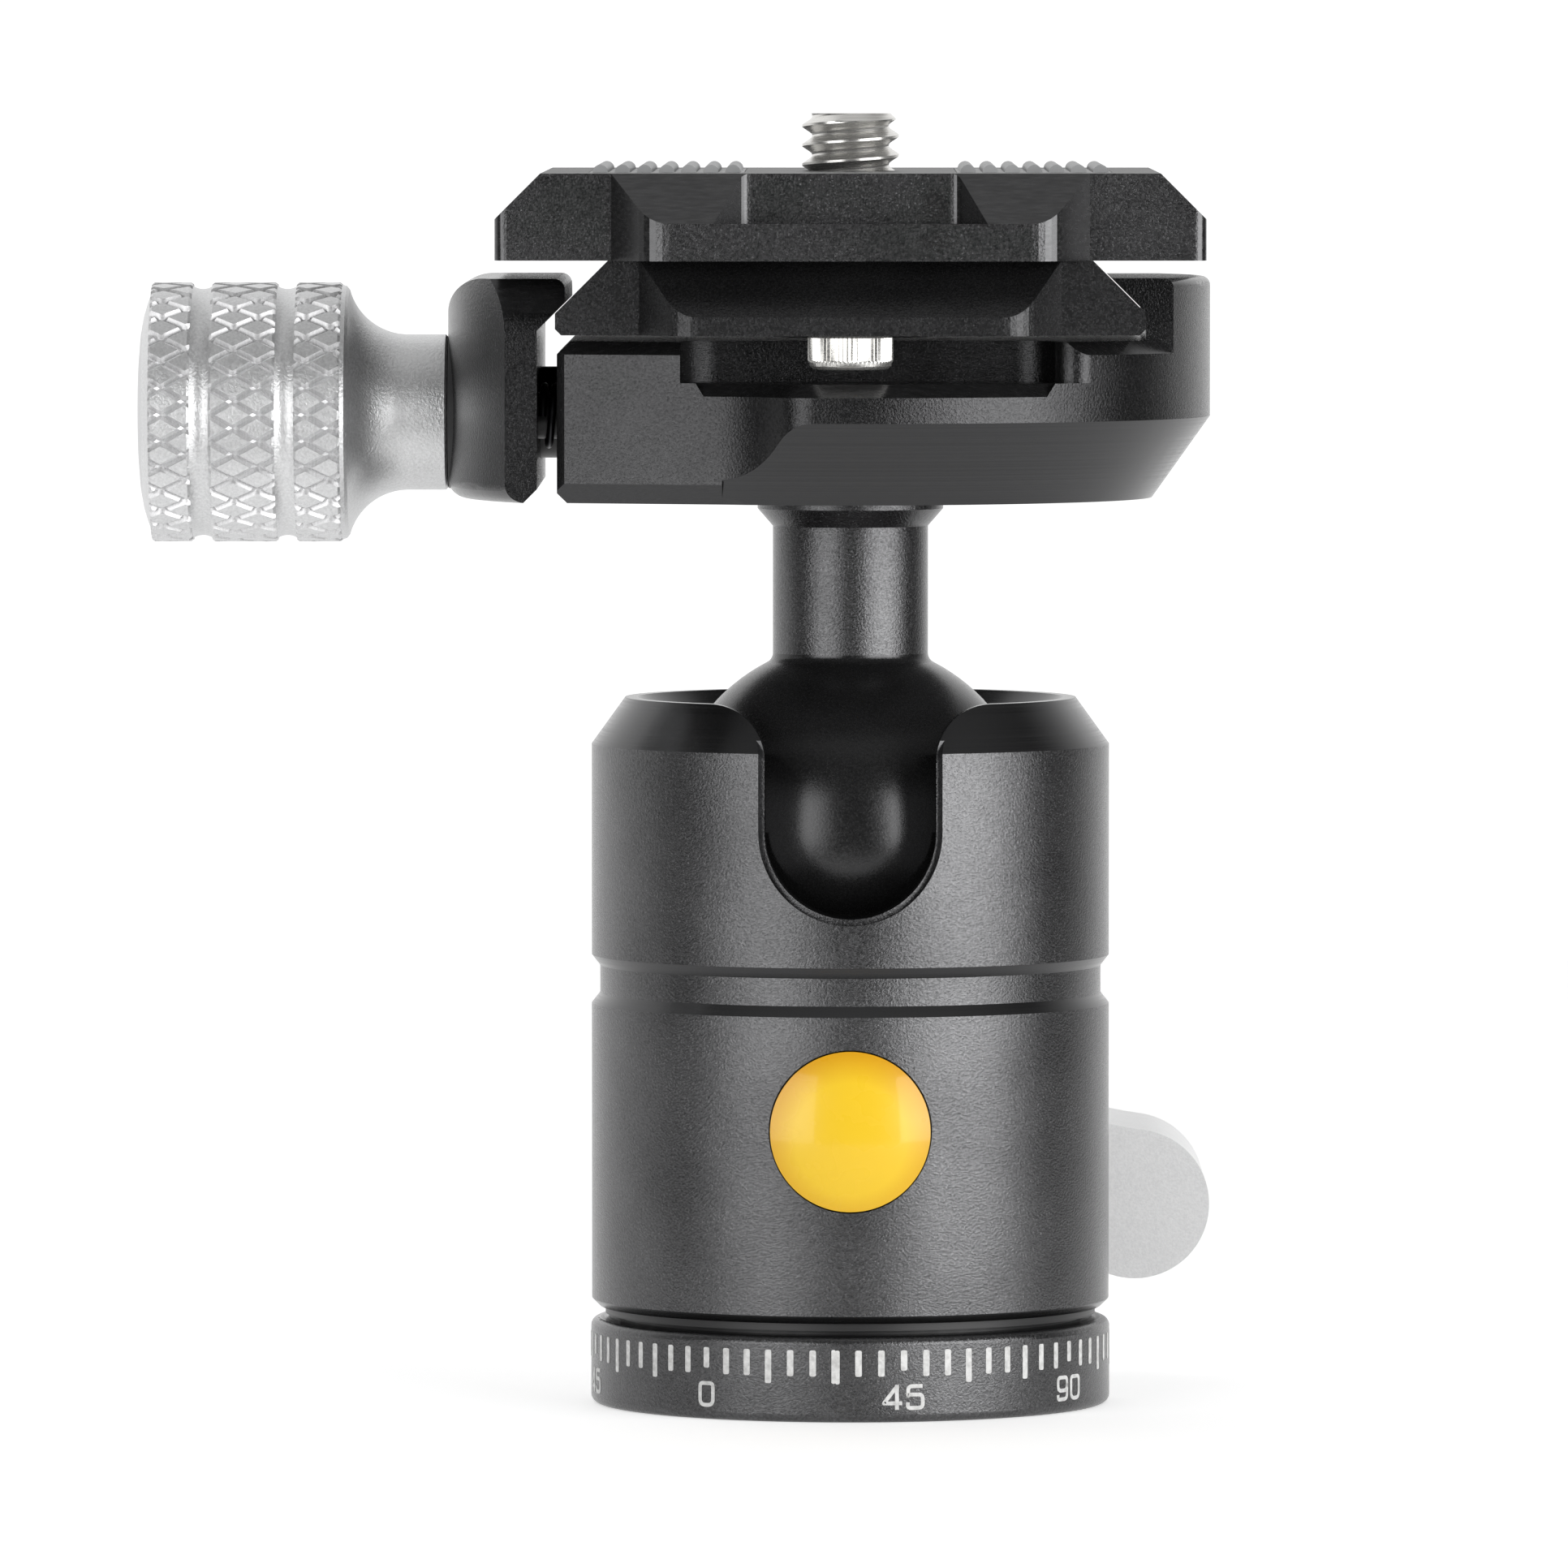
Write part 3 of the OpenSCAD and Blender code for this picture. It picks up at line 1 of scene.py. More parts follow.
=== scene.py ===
import math
import bmesh
import bpy
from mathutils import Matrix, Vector


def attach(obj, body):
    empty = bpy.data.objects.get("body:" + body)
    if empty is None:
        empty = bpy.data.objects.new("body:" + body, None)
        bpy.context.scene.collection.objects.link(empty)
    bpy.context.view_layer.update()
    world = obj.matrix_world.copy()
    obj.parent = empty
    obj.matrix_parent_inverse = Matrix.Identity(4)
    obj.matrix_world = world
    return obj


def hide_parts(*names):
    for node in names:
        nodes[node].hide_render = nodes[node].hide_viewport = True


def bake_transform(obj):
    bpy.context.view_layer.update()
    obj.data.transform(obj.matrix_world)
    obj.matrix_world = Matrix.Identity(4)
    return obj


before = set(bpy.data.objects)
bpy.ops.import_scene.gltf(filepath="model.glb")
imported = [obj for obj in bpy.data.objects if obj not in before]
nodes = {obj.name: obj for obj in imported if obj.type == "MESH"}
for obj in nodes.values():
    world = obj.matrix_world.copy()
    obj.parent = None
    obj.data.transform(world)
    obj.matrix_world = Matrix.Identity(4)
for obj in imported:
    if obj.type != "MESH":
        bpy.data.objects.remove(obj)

# Pieces are drawn in millimetres, in the frame's own axes, and MM takes them to metres.
MM = 0.001
TAU = 2 * math.pi
KNOB_Z = 65.1       # height of the clamp knob's axis, which runs along X
BADGE_Z = 18.9      # height of the badge's centre


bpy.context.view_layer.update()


# ------------------------------------------------------------- shader nodes

def principled(name, color, rough, metal=0.0, **sockets):
    """A new material, its node tree and its shader; sockets are further inputs of the shader."""
    material = bpy.data.materials.new(name)
    material.use_nodes = True
    shader = material.node_tree.nodes["Principled BSDF"]
    shader.inputs["Base Color"].default_value = (*color, 1)
    shader.inputs["Roughness"].default_value = rough
    shader.inputs["Metallic"].default_value = metal
    for key, value in sockets.items():
        shader.inputs[key.replace("_", " ")].default_value = value
    material.diffuse_color = (*color, 1)
    return material, material.node_tree, shader


def node(tree, kind, **inputs):
    n = tree.nodes.new(kind)
    for key, value in inputs.items():
        n.inputs[key.replace("_", " ")].default_value = value
    return n


def coords(tree):
    return tree.nodes.new("ShaderNodeTexCoord").outputs["Object"]


def split_xyz(tree, vector):
    n = tree.nodes.new("ShaderNodeSeparateXYZ")
    tree.links.new(vector, n.inputs[0])
    return n.outputs


def noise(tree, vector, scale, detail=2.0, rough=0.5):
    n = node(tree, "ShaderNodeTexNoise", Scale=scale, Detail=detail, Roughness=rough)
    tree.links.new(vector, n.inputs["Vector"])
    return n.outputs["Fac"]


def ramp(tree, value, lo, hi, out_lo=0.0, out_hi=1.0):
    n = tree.nodes.new("ShaderNodeMapRange")
    for i, v in zip(range(1, 5), (lo, hi, out_lo, out_hi)):
        n.inputs[i].default_value = v
    tree.links.new(value, n.inputs[0])
    return n.outputs[0]


def tint(tree, value, dark, light):
    n = tree.nodes.new("ShaderNodeMix")
    n.data_type = "RGBA"
    n.inputs["A"].default_value = (*dark, 1)
    n.inputs["B"].default_value = (*light, 1)
    tree.links.new(value, n.inputs["Factor"])
    return n.outputs["Result"]


def math2(tree, op, a, b):
    """A math node; a and b are numbers or sockets."""
    n = tree.nodes.new("ShaderNodeMath")
    n.operation = op
    for i, v in enumerate((a, b)):
        if isinstance(v, (int, float)):
            n.inputs[i].default_value = v
        else:
            tree.links.new(v, n.inputs[i])
    return n.outputs[0]


def radius_of(tree, a, b):
    squares = math2(tree, "ADD", math2(tree, "MULTIPLY", a, a), math2(tree, "MULTIPLY", b, b))
    return math2(tree, "SQRT", squares, 0)


def bump(tree, shader, height, strength, distance):
    n = node(tree, "ShaderNodeBump", Strength=strength, Distance=distance)
    tree.links.new(height, n.inputs["Height"])
    tree.links.new(n.outputs["Normal"], shader.inputs["Normal"])


# ---------------------------------------------------------------- materials

BLAST_SPAN, LINE_SPAN = (0.3, 0.7), (0.35, 0.65)    # the part of a noise's range that is used
BLAST_HEIGHT, LINE_HEIGHT = 0.00004, 0.00001        # of the bump, in metres


def uneven(tree, shader, value, span, color, spread, roughs):
    """Lets a noise value vary the colour by a share and the roughness between two values."""
    darker = [c * (1 - spread) for c in color]
    lighter = [min(1, c * (1 + spread)) for c in color]
    tree.links.new(tint(tree, ramp(tree, value, *span), darker, lighter),
                   shader.inputs["Base Color"])
    tree.links.new(ramp(tree, value, *span, *roughs), shader.inputs["Roughness"])


def blasted(name, color, rough, metal, grain, depth, spread, **sockets):
    """Bead-blasted and anodised: fine grain, a little uneven."""
    m, t, s = principled(name, color, rough, metal, **sockets)
    place = coords(t)
    fine = noise(t, place, grain, 3.0, 0.62)
    broad = noise(t, place, 160)
    both = math2(t, "ADD", math2(t, "MULTIPLY", fine, 0.75), math2(t, "MULTIPLY", broad, 0.25))
    uneven(t, s, both, BLAST_SPAN, color, spread, (rough - 0.05, rough + 0.07))
    bump(t, s, fine, depth, BLAST_HEIGHT)
    return m


def turned(name, color, rough, metal, axis="Z", pitch=9000, depth=0.2, centre=(0, 0, 0),
           **sockets):
    """Machined on a lathe: smooth, with fine lines round an axis through the centre."""
    m, t, s = principled(name, color, rough, metal, **sockets)
    shift = node(t, "ShaderNodeMapping", Location=[-c * MM for c in centre])
    t.links.new(coords(t), shift.inputs["Vector"])
    along = split_xyz(t, shift.outputs["Vector"])
    radius = radius_of(t, *(along[k] for k in "XYZ" if k != axis))
    join = t.nodes.new("ShaderNodeCombineXYZ")
    t.links.new(radius, join.inputs[0])
    t.links.new(along[axis], join.inputs[1])
    lines = noise(t, join.outputs[0], pitch, 2.0, 0.6)
    uneven(t, s, lines, LINE_SPAN, color, 0.1, (rough - 0.03, rough + 0.04))
    bump(t, s, lines, depth, LINE_HEIGHT)
    return m


def milled(name, color, rough, metal, depth=0.15, **sockets):
    """A cut facet: smooth, with faint lines along the cutter's path."""
    m, t, s = principled(name, color, rough, metal, **sockets)
    stretch = node(t, "ShaderNodeMapping", Scale=(900, 4200, 5200))
    t.links.new(coords(t), stretch.inputs["Vector"])
    lines = noise(t, stretch.outputs["Vector"], 1.0)
    uneven(t, s, lines, LINE_SPAN, color, 0.15, (rough - 0.03, rough + 0.05))
    bump(t, s, lines, depth, LINE_HEIGHT)
    return m


COARSE = {"grain": 6500, "depth": 0.9}
SLIP = {"grain": 900, "depth": 0.1, "spread": 0.06}
ON_KNOB = {"axis": "X", "centre": (0, 0, KNOB_Z)}

black = blasted("black_blasted", (0.086, 0.086, 0.088), 0.22, 0.85, **COARSE, spread=0.55,
                Specular_IOR_Level=0.8)
# Painted shade: a darker copy of the blasted black, for the clamp body and sliding jaw under the
# plate.
clamp_shaded_black = blasted("clamp_blasted_painted_shade", (0.038, 0.038, 0.039), 0.22, 0.85, **COARSE, spread=0.55,
                      Specular_IOR_Level=0.7)
black_cut = milled("black_milled", (0.072, 0.072, 0.0735), 0.23, 0.85, Specular_IOR_Level=0.8)
black_turned = turned("black_turned", (0.049, 0.049, 0.0503), 0.22, 0.85, Specular_IOR_Level=0.8)
ball_black = blasted("ball_satin", (0.050, 0.050, 0.051), 0.24, 0.8, grain=7000, depth=0.2,
                     spread=0.35, Specular_IOR_Level=0.6)
plate_black = blasted("plate_blasted", (0.070, 0.070, 0.0715), 0.22, 0.85, **COARSE, spread=0.6,
                      Specular_IOR_Level=0.8)
# Painted shade: a darker, duller copy of the plate's black on its top face, which dims the lamps'
# reflection there.
plate_top_shade = blasted("plate_top_painted_shade", (0.030, 0.030, 0.031), 0.42, 0.0, grain=5000, depth=0.3,
                    spread=0.2, Specular_IOR_Level=0.4)
# Painted shade: a darker copy of the plate's black on the dovetail under the wings.
plate_low_shaded = blasted("dovetail_blasted_painted_shade", (0.040, 0.040, 0.041), 0.25, 0.8, **COARSE, spread=0.6,
                    Specular_IOR_Level=0.5)
# Near black: the own dark of the screws and pins, and painted shade on the bottom cover under the
# housing's overhang.
dark_and_shade_black = turned("dark_machined", (0.014, 0.014, 0.0145), 0.4, 0.0, Specular_IOR_Level=0.5)
silver = blasted("silver_satin", (0.70, 0.703, 0.707), 0.40, 0.88, grain=5600, depth=1.0,
                 spread=0.16)
silver_bright = blasted("lever_satin", (0.95, 0.952, 0.956), 0.42, 0.1, grain=6500, depth=0.45,
                        spread=0.1)
silver_cut = turned("silver_cut", (0.68, 0.68, 0.685), 0.44, 0.8, depth=0.1, **ON_KNOB)
silver_flat = turned("silver_turned", (0.66, 0.662, 0.666), 0.42, 0.7, pitch=5200, depth=0.15,
                     **ON_KNOB)
steel = turned("bright_steel", (0.70, 0.69, 0.665), 0.26, 0.85, pitch=7000, depth=0.12)
spring_dark = turned("spring_blued", (0.045, 0.046, 0.05), 0.32, 0.8, axis="X", pitch=2500,
                     depth=0.1)
dark_plastic = blasted("slip_plastic_dark", (0.03, 0.03, 0.031), 0.45, 0.0, **SLIP)
plastic = blasted("slip_plastic", (0.62, 0.58, 0.48), 0.5, 0.0, **SLIP)


def rubber():
    """Pad rubber: fine grain under a smear that is lighter in places."""
    m, t, s = principled("pad_rubber", (0.43, 0.435, 0.44), 0.5, 0.0, Specular_IOR_Level=0.5)
    place = coords(t)
    fine = noise(t, place, 3800, 3.0, 0.6)
    smear = noise(t, place, 260)
    t.links.new(tint(t, ramp(t, smear, 0.3, 0.7), (0.36, 0.365, 0.37), (0.50, 0.505, 0.51)),
                s.inputs["Base Color"])
    t.links.new(ramp(t, smear, 0.3, 0.7, 0.42, 0.6), s.inputs["Roughness"])
    bump(t, s, fine, 0.35, 0.00003)
    return m


def enamel():
    """Amber enamel with painted shade that darkens it towards its rim, a little more at the top
    than below.
    """
    m, t, s = principled("amber_enamel", (0.93, 0.58, 0.02), 0.34, 0.0, Specular_IOR_Level=0.35,
                         Coat_Weight=0.3, Coat_Roughness=0.06)
    place = coords(t)
    along = split_xyz(t, place)
    up = math2(t, "SUBTRACT", along["Z"], BADGE_Z * MM)
    radius = radius_of(t, up, along["X"])
    cloud = noise(t, place, 420)
    # Painted shade: the colour darkens towards the rim, more at the top than at the bottom.
    rim_shade_reach = math2(t, "ADD", radius, math2(t, "MULTIPLY", up, 0.12))
    edge = math2(t, "ADD", ramp(t, rim_shade_reach, 0.0036, 0.0056, 0.0, 0.9),
                 math2(t, "MULTIPLY", cloud, 0.1))
    t.links.new(tint(t, edge, (0.95, 0.62, 0.026), (0.74, 0.36, 0.010)), s.inputs["Base Color"])
    t.links.new(ramp(t, cloud, 0.3, 0.7, 0.24, 0.34), s.inputs["Roughness"])
    return m


def paint():
    """The scale's white filling, a little worn."""
    m, t, s = principled("white_paint", (0.82, 0.82, 0.81), 0.55, 0.0)
    wear = noise(t, coords(t), 2600, 3.0, 0.6)
    t.links.new(tint(t, ramp(t, wear, 0.32, 0.62), (0.62, 0.62, 0.61), (0.88, 0.88, 0.87)),
                s.inputs["Base Color"])
    bump(t, s, wear, 0.3, 0.00002)
    return m


pad_rubber = rubber()
amber = enamel()
white_paint = paint()


# ---------------------------------------------------------------- CAD nodes

def dress(name, mats, choose=None):
    """Gives a CAD node its materials; choose maps a face's normal and centre to one of them."""
    mesh = nodes[name].data
    mesh.materials.clear()
    for m in mats:
        mesh.materials.append(m)
    for p in mesh.polygons:
        p.material_index = choose(p.normal, p.center / MM) if choose else 0


LEAN, LEVEL = 0.3, 0.93     # a normal's share along an axis: leaning from LEAN, square from LEVEL


def leans(share):
    return LEAN < abs(share) < LEVEL


def base_face(n, c):
    """0 blasted side, 1 turned faces and top bevel."""
    bevel_z = 5.6
    return int(abs(n.z) > LEVEL or c.z > bevel_z)


def housing_face(n, c):
    """0 blasted side, 1 turned cone, bore, groove and bevels."""
    cone_z, bore_r, bore_z = 43.3, 16.2, 30
    in_bore = math.hypot(c.x, c.y) < bore_r and c.z > bore_z
    return int(c.z > cone_z or in_bore or leans(n.z))


def stem_face(n, c):
    """0 blasted stem, 1 satin ball."""
    ball_z = 49.6
    return int(c.z < ball_z)


def clamp_face(n, c):
    """0 blasted side, darker as painted shade, 1 turned cone, 2 milled deck and slopes."""
    cone_z, deck_z = 64.9, 69.8
    if leans(n.z):
        return 1 if c.z < cone_z else 2
    return 2 if abs(n.z) > LEVEL and c.z < deck_z else 0


def jaw_face(n, c):
    """0 blasted sides, darker as painted shade, 1 milled slopes."""
    return int(leans(n.z))


def plate_face(n, c):
    """0 blasted sides, 1 milled slopes, 2 dovetail, darker as painted shade, 3 top, darker and
    duller as painted shade.
    """
    dovetail_z, top_z = 75.3, 80.8
    if c.z < dovetail_z:
        return 2
    if n.z > LEVEL and c.z > top_z:
        return 3
    return int(leans(n.z) or leans(n.x))


dress("base_disc", [black, black_turned], base_face)
dress("housing", [black, black_turned], housing_face)
dress("ball_stem", [black, ball_black], stem_face)
dress("clamp_body", [clamp_shaded_black, black_turned, black_cut], clamp_face)
dress("sliding_jaw", [clamp_shaded_black, black_cut], jaw_face)
dress("plate", [plate_black, black_cut, plate_low_shaded, plate_top_shade], plate_face)
PLAIN = [
    # The bottom cover's near black is painted shade under the housing's overhang; the screws and
    # pins are dark.
    (dark_and_shade_black, ["bottom_cover", "lever_screw", "clamp_bolt", "guide_pins", "clamp_screw"]),
    (steel, ["pan_nut", "lock_shaft", "wedge_block", "pan_shoe"]),
    (silver_cut, ["shaft_bush", "cup_carrier"]),
    (silver_bright, ["lock_lever"]),
    (pad_rubber, ["rubber_pads"]),
    (plastic, ["upper_pan_washer", "lever_washer", "ball_cup"]),
    (dark_plastic, ["lower_pan_washer", "knob_washer"]),
]
for material, names in PLAIN:
    for name in names:
        dress(name, [material])


# -------------------------------------------------------------- mesh helpers

def link(obj):
    """Puts an object in the scene."""
    bpy.context.scene.collection.objects.link(obj)
    return obj


def piece(name, verts, faces, body, mats, slot, faceted=35, indices=None):
    """An object of the visual model; edges over faceted degrees stay sharp."""
    mesh = bpy.data.meshes.new(name)
    mesh.from_pydata([Vector(v) * MM for v in verts], [], faces)
    for m in mats:
        mesh.materials.append(m)
    if indices:
        for p, i in zip(mesh.polygons, indices):
            p.material_index = i
    obj = link(bpy.data.objects.new(name, mesh))
    bm = bmesh.new()
    bm.from_mesh(mesh)
    bmesh.ops.remove_doubles(bm, verts=bm.verts, dist=2e-7)
    bmesh.ops.recalc_face_normals(bm, faces=bm.faces)
    bm.to_mesh(mesh)
    bm.free()
    mesh.shade_smooth()
    mesh.set_sharp_from_angle(angle=math.radians(faceted))
    if body:
        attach(obj, body)
    return obj


def arc(cx, cy, r, a0, a1, n):
    """n + 1 points of an arc from a0 to a1 degrees."""
    return [(cx + r * math.cos(math.radians(a0 + (a1 - a0) * i / n)),
             cy + r * math.sin(math.radians(a0 + (a1 - a0) * i / n))) for i in range(n + 1)]


def skin(rows, n):
    """Faces over a closed ring of rows of n points each, between two end points."""
    last = rows * n + 1
    faces = []
    for i in range(rows):
        p, q = 1 + i * n, 1 + (i + 1) % rows * n
        faces.append((0, q, p))
        faces += [(p + k, q + k, q + k + 1, p + k + 1) for k in range(n - 1)]
        faces.append((p + n - 1, q + n - 1, last))
    return faces


def lathe(profile, steps, place):
    """A closed turned form from (along, radius) pairs that start and end on the axis."""
    inner = profile[1:-1]
    verts = [place(profile[0][0], 0, 0)]
    for i in range(steps):
        verts += [place(h, r, TAU * i / steps) for h, r in inner]
    verts.append(place(profile[-1][0], 0, 0))
    return verts, skin(steps, len(inner))


# The place of a point at h along an axis, at radius r from it and at angle a

def about_knob(h, r, a):
    return (h, -r * math.cos(a), KNOB_Z + r * math.sin(a))


def about_z(h, r, a):
    return (r * math.cos(a), r * math.sin(a), h)


def about_badge(h, r, a):
    return (r * math.cos(a), -h, BADGE_Z + r * math.sin(a))


def cut(bm, axis, at, side, reach, clear=True):
    """Cuts a mesh across axis 0, 1 or 2, and clears what lies beyond, on side 1 or -1."""
    plane_co, plane_no = [0, 0, 0], [0, 0, 0]
    plane_co[axis], plane_no[axis] = at, side
    bmesh.ops.bisect_plane(bm, geom=bm.verts[:] + bm.edges[:] + bm.faces[:], dist=reach,
                           plane_co=plane_co, plane_no=plane_no, clear_outer=clear)


def close_end(bm, axis, centre, reach):
    """Closes the open loop that lies level with the centre by a fan round it."""
    hub = bm.verts.new(centre)
    loop = [e for e in bm.edges if e.is_boundary
            and all(abs(v.co[axis] - centre[axis]) < reach for v in e.verts)]
    for e in loop:
        bm.faces.new((e.verts[0], e.verts[1], hub))


def drain(bm):
    """Vertices, faces and material indices of a bmesh, which is freed."""
    bm.verts.index_update()
    verts = [tuple(v.co) for v in bm.verts]
    faces = [[v.index for v in f.verts] for f in bm.faces]
    indices = [f.material_index for f in bm.faces]
    bm.free()
    return verts, faces, indices


# -------------------------------------------------- badge: a bare domed cap

BADGE_BACK, BADGE_EDGE, BADGE_TOP, BADGE_R = 15.6, 17.0, 17.9, 5.2
BADGE_BEVEL, CROWN_STEPS = 0.1, 20


def badge_profile():
    """A straight edge under a spherical crown."""
    rise = BADGE_TOP - BADGE_EDGE
    crown_r = (BADGE_R ** 2 + rise ** 2) / (2 * rise)
    radii = [BADGE_R * math.sin(math.radians(90 - 90 * i / CROWN_STEPS))
             for i in range(1, CROWN_STEPS)]
    return ([(BADGE_BACK, 0), (BADGE_BACK, BADGE_R - BADGE_BEVEL),
             (BADGE_BACK + BADGE_BEVEL, BADGE_R), (BADGE_EDGE, BADGE_R)]
            + [(BADGE_TOP - crown_r + math.sqrt(crown_r ** 2 - r * r), r) for r in radii]
            + [(BADGE_TOP, 0)])


dome = piece("amber_dome", *lathe(badge_profile(), 128, about_badge), "shell", [amber],
             "amber_badge", 40)
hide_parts("badge_dome")


# ---------------------- clamp knob: a turned core and three knurled bands

KNOB_R = 8.5
KNURL_DEPTH, KNURL_HALF_W = 0.3, 0.15   # the half width is a share of the lines' spacing
KNURL_N, KNURL_L = 30, 3.136            # lines round the knob, and a diamond's length along it
KNURL_X = -44.97                        # a crossing of two lines
BAND_EDGE, BAND_EDGE_DROP = 0.16, 0.7   # a band's bevel: its width and its slope
BANDS = [(-45.81, -43.11), (-41.86, -37.56), (-36.31, -33.31)]


def core_profile():
    """The end face, two flutes between the bands, the collar and the waist."""
    under, lip, low = 7.7, 8.26, 8.08
    flute_steps, flute_over, gap = 10, 0.02, 0.1
    p = [(-46.71, 0), (-46.70, 2.0), (-46.65, 3.8), (-46.52, 5.3), (-46.32, 6.4),
         (-46.08, 7.2), (-45.90, 7.7), (-45.78, 8.1), (-45.62, 8.2), (-45.60, under)]
    for (_, left), (right, _) in zip(BANDS, BANDS[1:]):
        half = (right - left) / 2 + flute_over
        middle = (left + right) / 2
        p.append((left - gap, under))
        for i in range(flute_steps + 1):
            t = -1 + 2 * i / flute_steps
            p.append((middle + half * t, low + (lip - low) * t * t))
        p.append((right + gap, under))
    p += [(-33.4, under), (-33.33, 8.36), (-33.05, 8.28), (-32.86, 8.05)]
    p += arc(-29.0, 9.1, 4.0, 195.2, 270, 16)
    return p + [(-26.55, 5.1), (-26.4, 4.95), (-26.4, 0)]


def knob_core():
    """The core, with the turned look on its end face alone."""
    end_face_x = -46.3
    verts, faces = lathe(core_profile(), 144, about_knob)
    indices = [int(sum(verts[i][0] for i in f) / len(f) < end_face_x) for f in faces]
    return piece("knob_core", verts, faces, "knob", [silver, silver_flat], "silver_anodised", 32,
                 indices)


def knurl_band(name, x0, x1):
    """Diamonds between two sets of crossing lines p and q, drawn flat and rolled up.

    p + q runs round the knob and p - q along it. Each diamond is split at the same shares of
    both, and its outer strips are the grooves.
    """
    pitch = TAU * KNOB_R / KNURL_N
    shares = [0.0, KNURL_HALF_W, 0.36, 0.64, 1 - KNURL_HALF_W]
    n = len(shares)
    groove = (0, n - 1)
    bm = bmesh.new()
    seen = {}

    def vert(p, q):
        u = (p + q) / 2 * pitch
        x = KNURL_X + (p - q) / 2 * KNURL_L
        key = (round(u, 5), round(x, 5))
        if key not in seen:
            seen[key] = bm.verts.new((u, x, 0))
        return seen[key]

    def line(k):
        whole, part = divmod(k, n)
        return whole + shares[part]

    def diamond(p, q):
        for i in range(n):
            for j in range(n):
                a, b = p * n + i, q * n + j
                f = bm.faces.new([vert(line(a), line(b)), vert(line(a + 1), line(b)),
                                  vert(line(a + 1), line(b + 1)), vert(line(a), line(b + 1))])
                f.material_index = int(i in groove or j in groove)

    first = math.floor(2 * (x0 - KNURL_X) / KNURL_L) - 1
    last = math.ceil(2 * (x1 - KNURL_X) / KNURL_L) + 1
    for row in range(first, last + 1):
        for column in range(2 * KNURL_N):
            if (column + row) % 2 == 0:
                diamond((column + row) // 2, (column - row) // 2)
    for x, side in ((x0, -1), (x1, 1)):
        cut(bm, axis=1, at=x - side * BAND_EDGE, side=side, reach=1e-6, clear=False)
        cut(bm, axis=1, at=x, side=side, reach=1e-6)
    for v in bm.verts:
        u, x, _ = v.co
        p = u / pitch + (x - KNURL_X) / KNURL_L
        q = u / pitch - (x - KNURL_X) / KNURL_L
        near = min(abs(p - round(p)), abs(q - round(q)))
        into_edge = max(0.0, BAND_EDGE - (x - x0), BAND_EDGE - (x1 - x))
        r = min(KNOB_R - KNURL_DEPTH * max(0.0, 1 - near / KNURL_HALF_W),
                KNOB_R - into_edge * BAND_EDGE_DROP)
        v.co = about_knob(x, r, u / KNOB_R)
    bmesh.ops.remove_doubles(bm, verts=bm.verts, dist=0.002)
    for x in (x0, x1):
        close_end(bm, axis=0, centre=(x, 0, KNOB_Z), reach=1e-4)
    verts, faces, indices = drain(bm)
    piece(name, verts, faces, "knob", [silver, silver_cut], "silver_anodised", 24, indices)


core = knob_core()
for i, (x0, x1) in enumerate(BANDS):
    knurl_band("knob_band_%d" % (i + 1), x0, x1)
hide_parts("clamp_knob")


# --------------------------------- camera screw: a helical thread and a shank

THREAD_TOP, THREAD_BOTTOM = 84.7, 80.7
THREAD_R, THREAD_ROOT, THREAD_PITCH = 3.175, 2.52, 1.27
END_R, END_SLOPE = 2.62, 1.1        # the end's bevel: its top radius and its growth per mm
SHANK_R, SHANK_TOP = 2.45, 80.8
HEAD_R, HEAD_BEVEL, HEAD_LO, HEAD_HI = 6.4, 0.25, 70.85, 73.75
# One turn's ridge: (share of the pitch, share of the height), with a rounded root
RIDGE = [(0.0, 1.0), (0.06, 1.0), (0.16, 0.72), (0.30, 0.30), (0.40, 0.06), (0.5, 0.0),
         (0.60, 0.06), (0.70, 0.30), (0.84, 0.72), (0.94, 1.0)]


def camera_thread():
    """A helical thread, drawn longer than it is and cut flat at both ends."""
    steps, m = 72, len(RIDGE)
    turns = int((THREAD_TOP - THREAD_BOTTOM) / THREAD_PITCH) + 4
    bm = bmesh.new()
    grid = []
    for i in range(steps + 1):
        row = []
        for k in range(turns * m):
            t, h = RIDGE[k % m]
            z = THREAD_BOTTOM + THREAD_PITCH * (k // m + t + i / steps - 2)
            r = min(THREAD_ROOT + (THREAD_R - THREAD_ROOT) * h,
                    END_R + max(0.0, THREAD_TOP - z) * END_SLOPE)
            row.append(bm.verts.new(about_z(z, r, TAU * i / steps)))
        grid.append(row)
    for here, there in zip(grid, grid[1:]):
        for k in range(turns * m - 1):
            bm.faces.new((here[k], there[k], there[k + 1], here[k + 1]))
    bmesh.ops.remove_doubles(bm, verts=bm.verts, dist=1e-4)
    cut(bm, axis=2, at=THREAD_TOP, side=1, reach=1e-5)
    cut(bm, axis=2, at=THREAD_BOTTOM, side=-1, reach=1e-5)
    for z in (THREAD_TOP, THREAD_BOTTOM):
        close_end(bm, axis=2, centre=(0, 0, z), reach=1e-3)
    verts, faces, _ = drain(bm)
    return piece("camera_thread", verts, faces, "camera_bolt", [steel], "bright_steel", 28)


thread = camera_thread()
shank_profile = [(HEAD_LO, 0), (HEAD_LO, HEAD_R - HEAD_BEVEL), (HEAD_LO + HEAD_BEVEL, HEAD_R),
                 (HEAD_HI - HEAD_BEVEL, HEAD_R), (HEAD_HI, HEAD_R - HEAD_BEVEL),
                 (HEAD_HI, SHANK_R), (SHANK_TOP, SHANK_R), (SHANK_TOP, 0)]
piece("camera_shank", *lathe(shank_profile, 96, about_z), "camera_bolt", [steel],
      "bright_steel", 30)
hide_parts("camera_screw")


# ---- safety screws under the plate: knurled heads with a smooth lower collar

STOP_Y = 22


